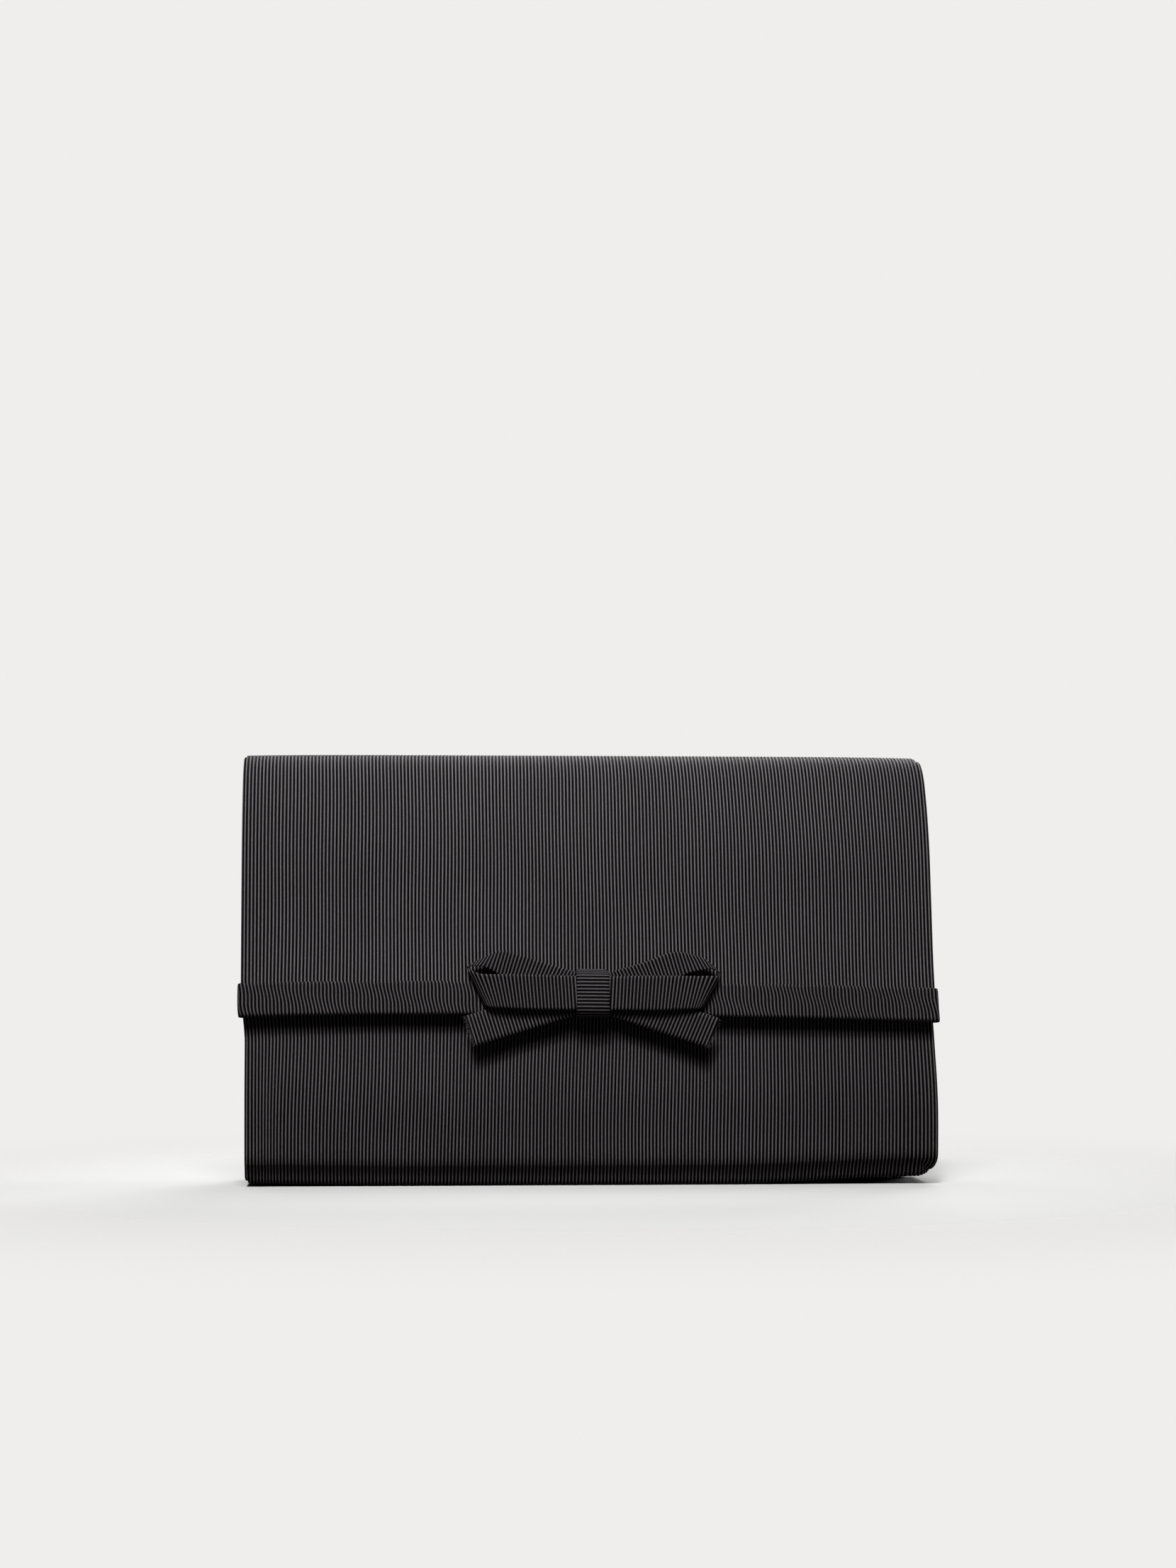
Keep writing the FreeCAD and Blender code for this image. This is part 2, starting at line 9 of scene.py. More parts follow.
import bmesh
import bpy
import numpy as np
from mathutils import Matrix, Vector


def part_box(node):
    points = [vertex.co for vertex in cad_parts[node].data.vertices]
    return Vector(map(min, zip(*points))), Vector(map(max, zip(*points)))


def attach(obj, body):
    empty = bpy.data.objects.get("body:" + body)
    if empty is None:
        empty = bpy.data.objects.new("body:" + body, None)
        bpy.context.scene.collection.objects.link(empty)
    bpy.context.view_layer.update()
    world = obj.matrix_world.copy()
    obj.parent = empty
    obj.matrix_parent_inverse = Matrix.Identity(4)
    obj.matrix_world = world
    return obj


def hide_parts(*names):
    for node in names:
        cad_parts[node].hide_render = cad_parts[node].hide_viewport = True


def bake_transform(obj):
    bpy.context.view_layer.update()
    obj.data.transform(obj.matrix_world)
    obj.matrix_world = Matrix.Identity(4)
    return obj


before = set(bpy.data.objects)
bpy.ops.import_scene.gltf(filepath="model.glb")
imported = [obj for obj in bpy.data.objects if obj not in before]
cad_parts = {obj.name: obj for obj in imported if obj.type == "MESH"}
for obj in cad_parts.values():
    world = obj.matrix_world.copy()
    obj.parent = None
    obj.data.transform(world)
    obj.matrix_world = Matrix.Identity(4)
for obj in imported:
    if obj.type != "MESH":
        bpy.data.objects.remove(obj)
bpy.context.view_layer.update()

MM = 0.001
FRONT_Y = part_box("bottom_cover")[0].y

# Overall size and the outer line, as in the frame
HALF_WIDTH = 125.0
FLAP_HALF_WIDTH = 125.4
BODY_DEPTH = 50.0
HEIGHT = 158.5
HEM_HEIGHT = 61.0
FRONT_TOP = 128.0
LEAN = math.radians(11)
FRONT_BEND_HEIGHT = 26.0
FRONT_BEND_RADIUS = 75.0
BASE_EDGE = 8.0
TOP_FOLD = 8.0
CROWN = 22.9
CROWN_TURN = math.radians(59.5)
FLAP_BEND = 105.0

# Layers of the wall, as depths below the outer line
WALL = 2.9
RIM = WALL / 2
BOARD_LAYER = (1.0, 2.2)
LINING_FACE = 3.15
LINING_BACK = 2.6
SIDE_MARGIN = 3.4
HEM_MARGIN = 9.0
LINING_INSET = 3.4
FLAP_LINING_INSET = 2.8
BOARD_INSET = 2.4

# Ribs of the cloth and of the ribbon
RIB = 1.28
RIB_STEPS = 5
COVER_RELIEF = 0.4
RIBBON_RELIEF = 0.26
KNOT_RELIEF = 0.36
BINDING_RELIEF = 0.12

# Ribbon and bow; the bow's places are (u, v) from the knot's centre
RIBBON_WIDTH = 12.0
RIBBON_THICKNESS = 0.6
RIBBON_ABOVE_HEM = 7.4
TAILS = {
    "left": {"side": -1, "corner_low": (-42.8, -18.1), "corner_high": (-46.1, -7.1), "twist": 0.4},
    "right": {"side": 1, "corner_low": (41.4, -18.0), "corner_high": (45.9, -7.4), "twist": 1.8},
}
LOOPS = {
    "left": {"side": -1, "tip": (45.0, 11.2), "mouth_v": 11.0, "peak": (31.8, 16.6), "fold": (38.0, -3.9)},
    "right": {"side": 1, "tip": (46.3, 9.6), "mouth_v": 10.5, "peak": (30.6, 16.8), "fold": (39.0, -3.8)},
}
TIE_THREAD = 0.17
FRAY_THREAD = 0.05
FRAYED_THREADS = 34

# Snap and slip pocket
SNAP_ABOVE_HEM = 26.0
POCKET_HALF = 65.0
POCKET_FOOT = 22.0
POCKET_TOP = 100.0
POCKET_CLOTH = 0.42
STITCH_THREAD = 0.16


def smooth(value, low, high):
    """0 below low and 1 above high, with an even turn between them."""
    share = np.clip((value - low) / (high - low), 0.0, 1.0)
    return share * share * (3 - 2 * share)


class OuterLine:
    """Straight runs and left-hand arcs laid end to end in the (s, z) plane."""

    def __init__(self, start, heading):
        self.runs = []
        self.ends = {}
        self.point = start
        self.heading = heading
        self.length = 0.0

    def add(self, name, length, radius=None):
        self.runs.append((self.length, self.point, self.heading, radius))
        s, z = self.run_points(self.runs[-1], self.length + length, 0.0)
        self.point = (float(s), float(z))
        if radius:
            self.heading += length / radius
        self.length += length
        self.ends[name] = self.length

    @staticmethod
    def run_points(run, station, depth):
        first, point, heading, radius = run
        along = station - first
        if radius:
            turned = heading + along / radius
            centre = (point[0] - radius * math.sin(heading), point[1] + radius * math.cos(heading))
            return (centre[0] + (radius - depth) * np.sin(turned),
                    centre[1] - (radius - depth) * np.cos(turned))
        return (point[0] + along * math.cos(heading) - depth * math.sin(heading),
                point[1] + along * math.sin(heading) + depth * math.cos(heading))

    def points(self, station, depth):
        """The (s, z) of places on the line; its two end runs carry on past its ends."""
        s = np.zeros(np.broadcast(station, depth).shape)
        z = np.zeros_like(s)
        station, depth = np.broadcast_arrays(station, depth)
        for k, run in enumerate(self.runs):
            low = -1e9 if k == 0 else run[0]
            high = 1e9 if k == len(self.runs) - 1 else self.runs[k + 1][0]
            here = (station >= low) & (station < high)
            s[here], z[here] = self.run_points(run, station[here], depth[here])
        return s, z


def build_line():
    """The bag's outer line, from the front panel's top edge to the flap's hem."""
    bend_top = FRONT_BEND_HEIGHT + FRONT_BEND_RADIUS * math.sin(LEAN)
    front = (FRONT_TOP - bend_top) / math.cos(LEAN)
    setback = FRONT_BEND_RADIUS * (1 - math.cos(LEAN)) + front * math.sin(LEAN)
    line = OuterLine((setback, FRONT_TOP), -math.pi / 2 - LEAN)
    line.add("front", front)
    line.add("front_bend", FRONT_BEND_RADIUS * LEAN, FRONT_BEND_RADIUS)
    line.add("front_foot", FRONT_BEND_HEIGHT - BASE_EDGE)
    line.add("front_corner", BASE_EDGE * math.pi / 2, BASE_EDGE)
    line.add("bottom", BODY_DEPTH - 2 * BASE_EDGE)
    line.add("back_corner", BASE_EDGE * math.pi / 2, BASE_EDGE)
    line.add("back", HEIGHT - TOP_FOLD - BASE_EDGE)
    line.add("top_fold", TOP_FOLD * math.pi / 2, TOP_FOLD)
    line.add("crown", CROWN * CROWN_TURN, CROWN)
    line.add("flap_bend", FLAP_BEND * (math.pi / 2 - LEAN - CROWN_TURN), FLAP_BEND)
    line.add("flap", (line.point[1] - HEM_HEIGHT) / math.cos(LEAN))
    return line


LINE = build_line()
HEM = LINE.length
BACK_SEAM = LINE.ends["back_corner"]
TOP_SEAM_PAST_FOLD = 3.3
TOP_SEAM = LINE.ends["top_fold"] + TOP_SEAM_PAST_FOLD

# Where cloth turns from one body of a joint to the other, from one (s, z) to the next
MOUTH_TURN = ("case", "front_panel", (6.0, 0.2), (0.0, 16.0))
LIFT_TURN = ("case", "flap_top", (50.0, HEIGHT - 12.0), (42.0, HEIGHT))
BEND_TURN = ("flap_top", "flap_front", (36.0, HEIGHT - 0.6), (22.0, HEIGHT - 12.0))
GUSSET_TURN = ("case", "front_panel", (20 * math.cos(LEAN), -20 * math.sin(LEAN)),
               (-1.5 * math.cos(LEAN), 1.5 * math.sin(LEAN)))


# ------------------------------------------------------------------ how the bag has settled

HEM_HIGH_POINT = -62.0

# The outline's corners, as (right 1 or left -1, top 1 or bottom 0, radius)
CORNERS = ((1, 0, 7.0), (-1, 0, 2.5), (1, 1, 3.0), (-1, 1, 1.6))

# How far the sides stand out, the bottom edge slants in, and the corners dip or lift
RIGHT_OUT_ABOVE = 0.25
RIGHT_OUT_BELOW = 1.6
LEFT_OUT = 0.3
LEFT_FLAP_OUT = 1.0
BOTTOM_SLANT = 2.4
BOTTOM_SLANT_HEIGHT = 8.5
TOP_CORNER_DIP = 0.5
RIGHT_FOOT_LIFT = 2.7
LEFT_FOOT_LIFT = 0.9
SLOW_WAVE = 0.35


def hem_droop(x):
    """How far the flap hangs lower than its cut: most at the right corner."""
    from_high_point = (x - HEM_HIGH_POINT) / 100.0
    return np.where(from_high_point > 0, 0.80, 1.9) * from_high_point ** 2


def settle(x, s, z):
    """Small shifts of the whole bag: rounded corners, spread sides and slack edges."""
    for right, top, radius in CORNERS:
        x, z = round_corner(x, z, right, top, radius)
    side = x / HALF_WIDTH
    height = z / HEIGHT
    x = x + RIGHT_OUT_ABOVE * smooth(side, 0.4, 1.0) * smooth(height, 0.25, 1.0)
    x = x + RIGHT_OUT_BELOW * smooth(side, 0.3, 1.0) * (1 - smooth(height, 0.12, 0.55))
    x = x - LEFT_FLAP_OUT * smooth(-side, 0.3, 1.0) * smooth(z, 52.0, 66.0)
    x = x - LEFT_OUT * smooth(-side, 0.3, 1.0)
    under = np.clip((BOTTOM_SLANT_HEIGHT - z) / BOTTOM_SLANT_HEIGHT, 0.0, 1.0)
    s = s + BOTTOM_SLANT * np.sin(math.pi * under) * (1 - smooth(s, 4.0, 12.0))
    z = z - TOP_CORNER_DIP * np.abs(side) ** 6 * smooth(height, 0.8, 1.0)
    lift = RIGHT_FOOT_LIFT * smooth(side, 0.35, 1.0) + LEFT_FOOT_LIFT * smooth(-side, 0.5, 1.0)
    z = z + lift * (1 - smooth(z, 0.0, 24.0)) * (1 - smooth(s, 20.0, 45.0))
    s = s + SLOW_WAVE * np.sin(x / 31.0 + 0.6) * np.sin(z / 27.0 + 0.4) * smooth(z, 4.0, 30.0)
    return x, s, z


def round_corner(x, z, right, top, radius):
    """Draw a square corner of the outline in to a quarter circle."""
    edge_x = FLAP_HALF_WIDTH if top else HALF_WIDTH
    edge_z = HEIGHT if top else 0.0
    up = 1 if top else -1
    dx = np.maximum(right * x - (edge_x - radius), 0.0)
    dz = np.maximum(up * (z - edge_z) + radius, 0.0)
    square = np.maximum(dx, dz)
    circle = np.hypot(dx, dz)
    scale = np.where(circle > 1e-9, square / np.maximum(circle, 1e-9), 1.0)
    return x + right * dx * (scale - 1), z + up * dz * (scale - 1)


def place(x, station, depth):
    """The settled (x, y, z) of places on the bag, in metres."""
    x, station, depth = np.broadcast_arrays(x, station, depth)
    on_flap = smooth(station, LINE.ends["top_fold"] + 12.0, HEM)
    s, z = LINE.points(station + hem_droop(x) * on_flap, depth)
    x, s, z = settle(x, s, z)
    return np.stack([x * MM, s * MM + FRONT_Y, z * MM], axis=-1)


def point(s, z):
    """A point in the middle of the bag's width, in metres."""
    return (0.0, s * MM + FRONT_Y, z * MM)


# ------------------------------------------------------------------ mesh making

def grid_mesh(name, points, uv=None, wrap_rows=False, wrap_columns=False, caps=False):
    """A mesh from a grid of points, welded where the points meet."""
    rows, columns = points.shape[:2]
    index = np.arange(rows * columns).reshape(rows, columns)
    row = np.arange(rows if wrap_rows else rows - 1)
    column = np.arange(columns if wrap_columns else columns - 1)
    r, c = np.meshgrid(row, column, indexing="ij")
    r1 = (r + 1) % rows
    c1 = (c + 1) % columns
    faces = np.stack([index[r, c], index[r, c1], index[r1, c1], index[r1, c]], axis=-1).reshape(-1, 4)
    mesh = bpy.data.meshes.new(name)
    mesh.vertices.add(rows * columns)
    mesh.vertices.foreach_set("co", points.reshape(-1).astype(np.float32))
    mesh.loops.add(faces.size)
    mesh.loops.foreach_set("vertex_index", faces.reshape(-1).astype(np.int32))
    mesh.polygons.add(len(faces))
    mesh.polygons.foreach_set("loop_start", np.arange(0, faces.size, 4, dtype=np.int32))
    mesh.update(calc_edges=True)
    if uv is not None:
        layer = mesh.uv_layers.new(name="ribs")
        layer.data.foreach_set("uv", uv.reshape(-1, 2)[faces.reshape(-1)].reshape(-1).astype(np.float32))
    tidy_mesh(mesh, caps)
    return new_object(name, mesh)


def there_and_back(outer, inner=None):
    """Columns along one face and back along the other; the same twice if only one is given."""
    return np.concatenate([outer, (outer if inner is None else inner)[:, ::-1]], axis=1)


def tidy_mesh(mesh, caps):
    """Weld doubles, close open ends if asked, and face everything outward."""
    edit = bmesh.new()
    edit.from_mesh(mesh)
    bmesh.ops.remove_doubles(edit, verts=edit.verts, dist=2e-6)
    bmesh.ops.dissolve_degenerate(edit, edges=edit.edges, dist=1e-6)
    if caps:
        bmesh.ops.holes_fill(edit, edges=[e for e in edit.edges if e.is_boundary])
    bmesh.ops.recalc_face_normals(edit, faces=edit.faces)
    for face in edit.faces:
        face.smooth = True
    edit.to_mesh(mesh)
    edit.free()


def finish_piece(obj, material, body=None, turn=None, replaced=()):
    """Give a piece its material, and parent it to the body that it moves with, or bake it in place when a
    turn is given.
    """
    obj.data.materials.append(material)
    if turn:
        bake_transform(obj)
    else:
        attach(obj, body)
    if replaced:
        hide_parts(*replaced)
    return obj


def steps(first, last, spacing):
    """Evenly spaced stations from first to last, no further apart than the spacing."""
    return np.linspace(first, last, max(2, int(math.ceil(abs(last - first) / spacing)) + 1))


def station_rows(first, last):
    """Stations between two places on the line, closer together where it curves."""
    cuts = [first] + [run[0] for run in LINE.runs if first + 1e-6 < run[0] < last - 1e-6] + [last]
    rows = []
    for low, high in zip(cuts, cuts[1:]):
        middle = (low + high) / 2
        radius = [run[3] for run in LINE.runs if run[0] <= middle][-1]
        spacing = 3.4 if not radius or radius > 50 else 1.25
        rows.extend(steps(low, high, spacing)[:-1])
    return np.array(rows + [last])


# ------------------------------------------------------------------ cover cloth

def rib_profile(ribs, relief):
    """Depth below the ridges: round ridges with narrow valleys at whole numbers."""
    return relief * (1 - np.abs(np.sin(math.pi * ribs)) ** 0.55)


def cloth_columns(half_width):
    """Arc positions across a covered panel, from margin to margin round both side rims."""
    flat = half_width - RIM
    reach = flat + math.pi * RIM + SIDE_MARGIN
    count = int(math.floor(reach / RIB * RIB_STEPS))
    return np.arange(-count, count + 1) * RIB / RIB_STEPS


def covered_panel(name, stations, half_widths, hem=None):
    """Ribbed cloth over a board: turned round both sides, and round one hem if it is named.

    hem is "last" or "first", for the end of the line that is turned.
    """
    toward = -1 if hem == "first" else 1
    arc = cloth_columns(float(np.max(half_widths)))
    away = np.abs(arc)
    sign = np.sign(arc)
    flat = float(np.max(half_widths)) - RIM
    turn_b = np.clip((away - flat) / RIM, 0.0, math.pi)
    margin_b = np.maximum(away - flat - math.pi * RIM, 0.0)
    turn_a = np.zeros(len(stations))
    margin_a = np.zeros(len(stations))
    run = stations * toward
    limit = np.inf
    if hem:
        limit = float(np.max(run)) - RIM
        run = np.minimum(run, limit)
        rim_turns = np.linspace(0, math.pi, 7)[1:]
        margins = np.array([1.5, 3.0, 5.0, 7.0, HEM_MARGIN - 0.4, HEM_MARGIN])
        turn_a = np.concatenate([turn_a, rim_turns, np.full(len(margins), math.pi)])
        margin_a = np.concatenate([margin_a, np.zeros(len(rim_turns)), margins])
        extra = len(rim_turns) + len(margins)
        run = np.concatenate([run, np.full(extra, limit)])
        half_widths = np.concatenate([half_widths, np.full(extra, half_widths[-1])])
    lip_a = smooth(margin_a, HEM_MARGIN - 0.6, HEM_MARGIN)[:, None]
    lip_b = smooth(margin_b, SIDE_MARGIN - 0.5, SIDE_MARGIN)[None, :]
    turn_a, turn_b = turn_a[:, None], turn_b[None, :]
    margin_a, margin_b = margin_a[:, None], margin_b[None, :]
    row_turned, column_turned = turn_a > 0, turn_b > 0
    both = row_turned & column_turned
    phi = np.maximum(turn_a, turn_b)
    psi = np.where(both, np.arctan2(turn_a, np.maximum(turn_b, 1e-9)),
                   np.where(row_turned, math.pi / 2, 0.0))
    margin = np.where(both, np.maximum(margin_a, margin_b),
                      np.where(row_turned, margin_a, margin_b))
    relief = rib_profile(arc / RIB + 0.5, COVER_RELIEF)[None, :]
    radius = RIM - relief
    outward = radius * np.sin(phi)
    depth = RIM - radius * np.cos(phi) - 0.5 * np.maximum(lip_a, lip_b)
    x = np.minimum(away[None, :], flat - np.minimum(margin, SIDE_MARGIN)) + outward * np.cos(psi)
    x = x * (half_widths / np.max(half_widths))[:, None]
    station = np.minimum(run[:, None], limit - margin) + outward * np.sin(psi)
    lean_in = rib_lean(x * sign, station * toward) * (1 - smooth(away, flat - 14.0, flat - 1.0))
    points = place(x * sign[None, :] + lean_in, station * toward, depth)
    uv_rows = np.concatenate([[0.0], np.cumsum(np.abs(np.diff(run)) + np.diff(turn_a[:, 0]) * RIM
                                               + np.diff(margin_a[:, 0]))])
    u = np.broadcast_to(arc / RIB + 0.5, points.shape[:2])
    v = np.broadcast_to(uv_rows[:, None] / RIB, points.shape[:2])
    return grid_mesh(name, points, np.stack([u, v], axis=-1))


def rib_lean(x, station):
    """Sideways drift of the ribs: they lean a little on the lower front and wander slightly."""
    front_foot = LINE.ends["front_foot"]
    low = smooth(station, front_foot - 75.0, front_foot)
    low = low * (1 - smooth(station, front_foot + 8.0, front_foot + 40.0))
    wander = 0.16 * np.sin(station / 23.0 + x / 37.0) + 0.1 * np.sin(station / 9.0 - x / 19.0)
    return -1.5 * low + wander


# ------------------------------------------------------------------ plain sheets

def slab(name, stations, half_width, shallow, deep, waves=0.0, spacing=3.0, edge=0.6):
    """A thin closed sheet along the line, with rounded edges; waves ripple its deep face."""
    x_face = steps(-half_width, half_width, spacing)
    x_face = np.concatenate([[-half_width + 0.001], x_face[1:-1], [half_width - 0.001]])
    ring_x = np.concatenate([x_face, x_face[::-1]])
    face = np.concatenate([np.ones(len(x_face)), -np.ones(len(x_face))])
    middle = (shallow + deep) / 2
    half = (deep - shallow) / 2
    away = (half_width - np.abs(ring_x)) / edge
    round_x = np.sqrt(np.clip(1 - (1 - np.clip(away, 0, 1)) ** 2, 0, 1))
    ends = np.minimum(stations - stations[0], stations[-1] - stations)
    round_s = np.sqrt(np.clip(1 - (1 - np.clip(ends / edge, 0, 1)) ** 2, 0, 1))
    swell = np.minimum(round_x[None, :], round_s[:, None])
    x, station = np.meshgrid(ring_x, stations)
    ripple = waves * (np.sin(x / 17.0 + 1.7 * np.sin(station / 29.0))
                      * np.sin(station / 21.0 + x / 53.0) + 0.5 * np.sin(x / 7.3 + station / 11.0))
    depth = middle + face[None, :] * half * swell + ripple * swell * (face > 0)[None, :]
    points = place(x, station, depth)
    uv = np.stack([x, station], axis=-1) / RIB
    return grid_mesh(name, points, uv, wrap_columns=True)


def edged(stations, edge=0.6):
    """Stations with an extra pair by each end, for a rounded end."""
    return np.concatenate([[stations[0], stations[0] + edge / 3, stations[0] + edge],
                           stations[(stations > stations[0] + edge) & (stations < stations[-1] - edge)],
                           [stations[-1] - edge, stations[-1] - edge / 3, stations[-1]]])


# ------------------------------------------------------------------ ribbon

def on_flap(u, v, w):
    """Places on the flap from u along +X, v up from the ribbon's centre line and w outward."""
    return place(u, HEM - RIBBON_ABOVE_HEM - v, -w)


def arc_lengths(points):
    return np.concatenate([[0.0], np.cumsum(np.linalg.norm(np.diff(points, axis=0), axis=1))])


def smooth_curve(knots, count=240):
    """A smooth curve through a few points, with its ends free."""
    knots = np.array(knots, float)
    ends = 2 * knots[:1] - knots[1:2], 2 * knots[-1:] - knots[-2:-1]
    p = np.concatenate([ends[0], knots, ends[1]])
    t = np.linspace(0, len(knots) - 1 - 1e-9, count)
    k = t.astype(int)
    f = (t - k)[:, None]
    a, b, c, d = p[k], p[k + 1], p[k + 2], p[k + 3]
    return 0.5 * (2 * b + (c - a) * f + (2 * a - 5 * b + 4 * c - d) * f ** 2
                  + (3 * b - a - 3 * c + d) * f ** 3)


def ribbon_piece(name, low, high, closed=False, across=9, relief=RIBBON_RELIEF, lean=0.0):
    """A ribbon between two long edges given as matching (u, v, w) points.

    Its ribs run across it, and lean is how far they lean along it, from edge to edge.
    """
    middle = (low + high) / 2
    length = arc_lengths(np.concatenate([middle, middle[:1]]) if closed else middle)
    count = int(round(length[-1] / RIB)) * RIB_STEPS
    at = np.linspace(0, length[-1], count + 1)
    if closed:
        at = at[:-1]
        low = np.concatenate([low, low[:1]])
        high = np.concatenate([high, high[:1]])
    q = np.linspace(0, 1, across)
    drift = (0.5 - q)[None, :] * lean + 0.16 * abs(lean) * np.sin(q[None, :] * 7.0 + at[:, None] / 6.0)
    ease = np.maximum(np.sin(math.pi * at / length[-1]), 0.0) ** 0.1
    reach = at[:, None] + drift * ease[:, None]
    share = q[None, :, None]
    low_line = np.stack([np.interp(reach, length, low[:, k]) for k in range(3)], axis=-1)
    high_line = np.stack([np.interp(reach, length, high[:, k]) for k in range(3)], axis=-1)
    centre = low_line * (1 - share) + high_line * share
    along = np.gradient(centre, axis=0)
    if closed:
        along = (np.roll(centre, -1, axis=0) - np.roll(centre, 1, axis=0)) / 2
    over = high_line - low_line
    normal = np.cross(along, over)
    normal /= np.linalg.norm(normal, axis=-1, keepdims=True) + 1e-9
    ribs = at / RIB
    selvedge = (q < 0.03) | (q > 0.97)
    valleys = rib_profile(ribs + 0.5, relief)[:, None] * np.where(selvedge, 0.3, 1.0)[None, :]
    half = (RIBBON_THICKNESS / 2 - valleys) * np.where(selvedge, 0.55, 1.0)
    if not closed:
        half[0] = half[-1] = 0.04
    outer = centre + normal * half[:, :, None]
    inner = centre - normal * half[:, :, None]
    ring = there_and_back(outer, inner)
    width = float(np.linalg.norm(high[0] - low[0]))
    v = np.concatenate([q, q[::-1]]) * width / RIB
    uv = np.stack(np.broadcast_arrays(ribs[:, None] + 0.5, v[None, :]), axis=-1)
    points = on_flap(ring[..., 0], ring[..., 1], ring[..., 2])
    return grid_mesh(name, points, uv, wrap_rows=closed, wrap_columns=True)


def band_edges():
    """The band's path: in behind the flap, round its left edge, across and round the right."""
    back, front = -WALL - 0.7, 0.4
    turned_in = 12.0
    middle, radius = (front + back) / 2, (front - back) / 2
    turn_u = FLAP_HALF_WIDTH + 1.1 - RIBBON_THICKNESS / 2 - radius
    path = [(-FLAP_HALF_WIDTH + turned_in, back)]
    for angle in np.linspace(-math.pi / 2, -3 * math.pi / 2, 15):
        path.append((-turn_u + radius * math.cos(angle), middle + radius * math.sin(angle)))
    path.extend((u, front + 0.12 * math.sin(u / 9.0)) for u in np.linspace(-turn_u + 3, turn_u - 3, 90))
    for angle in np.linspace(math.pi / 2, -math.pi / 2, 15):
        path.append((turn_u + radius * math.cos(angle), middle + radius * math.sin(angle)))
    path.append((FLAP_HALF_WIDTH - turned_in, back))
    u, w = np.array(path).T
    return [np.stack([u, np.full(len(u), v), w], axis=-1) for v in (-RIBBON_WIDTH / 2, RIBBON_WIDTH / 2)]


def loop_edges(side, tip, mouth_v, peak, fold):
    """One loop: out behind from the knot to the tip, folded over there, and back in front.

    Each row is one crossing of the ribbon, as its low and high edge points (u, v, w). The
    hind part is pinched at the tip, so the loop stands open there above its front part, as
    high as mouth_v.
    """
    tip_u, tip_v = tip
    peak_u, peak_v = peak
    fold_u, fold_v = fold
    rows = [
        ((2.0, 1.5, 1.4), (3.0, 8.6, 1.8)),
        ((10.5, 3.0, 1.3), (7.4, 9.7, 2.0)),
        ((18.2, 4.2, 1.3), (14.8, 11.7, 2.2)),
        ((25.0, 4.8, 1.4), (21.6, 14.0, 2.4)),
        ((peak_u - 1.8, 5.4, 1.5), (peak_u - 5.0, peak_v - 1.1, 2.5)),
        ((peak_u + 1.4, 7.5, 2.4), (peak_u - 1.2, peak_v - 0.1, 2.9)),
        ((peak_u + 4.8, mouth_v - 1.4, 3.2), (peak_u + 2.4, peak_v - 0.2, 3.2)),
        ((tip_u - 4.6, mouth_v, 3.4), (tip_u - 7.2, peak_v - 1.8, 3.2)),
        ((tip_u - 1.8, mouth_v, 2.9), (tip_u - 3.2, (mouth_v + peak_v) / 2 - 0.8, 2.6)),
        ((tip_u - 0.4, tip_v - 0.6, 2.4), (tip_u, tip_v, 2.0)),
        ((tip_u - 2.8, tip_v - 6.0, 1.3), (tip_u, tip_v - 0.2, 1.8)),
        ((fold_u + 1.4, fold_v + 2.6, 1.0), (tip_u - 0.1, tip_v - 0.4, 1.8)),
        ((fold_u - 0.2, fold_v + 0.2, 1.3), (tip_u - 0.1, tip_v - 0.7, 2.3)),
        ((fold_u + 0.5, fold_v, 2.4), (tip_u + 0.1, tip_v - 1.1, 3.2)),
        ((fold_u - 0.1, fold_v - 0.3, 3.8), (tip_u - 0.6, tip_v - 1.8, 4.3)),
        ((fold_u - 0.9, fold_v - 0.5, 4.4), (tip_u - 2.2, (tip_v + 7.4) / 2 - 0.8, 5.5)),
        ((fold_u - 1.8, fold_v - 0.6, 4.6), (fold_u + 2.8, 7.6, 6.2)),
        ((fold_u - 3.6, fold_v - 0.7, 4.7), (fold_u - 0.4, 7.4, 6.5)),
        ((fold_u - 7.0, fold_v - 0.8, 4.7), (fold_u - 4.6, 7.4, 6.5)),
        ((24.0, -5.0, 4.5), (25.2, 7.4, 6.2)),
        ((12.0, -5.0, 4.1), (12.8, 7.3, 5.4)),
        ((2.0, -5.0, 3.6), (2.8, 7.2, 3.8)),
    ]
    low, high = (smooth_curve([row[k] for row in rows], 400) for k in (0, 1))
    mirror = np.array([side, 1.0, 1.0])
    return low * mirror, high * mirror


def tail_edges(side, corner_low, corner_high, twist):
    """One tail, straight from under the knot to its cut end, which stands off more at its top."""
    corner_low, corner_high = np.array(corner_low), np.array(corner_high)
    root_low = np.array([6.6 * side, -6.6])
    along = (corner_low - root_low) / np.linalg.norm(corner_low - root_low)
    start = root_low - along * 4.0
    across = corner_high - corner_low
    t = np.linspace(0, 1, 120)[:, None]
    low = start + (corner_low - start) * t
    high = low + across
    lift = 1.1 + 0.25 * np.sin(t * 9.0) * t + 0.5 * t ** 6
    high_lift = lift + twist * t ** 0.5
    return np.concatenate([low, lift], axis=1), np.concatenate([high, high_lift], axis=1)


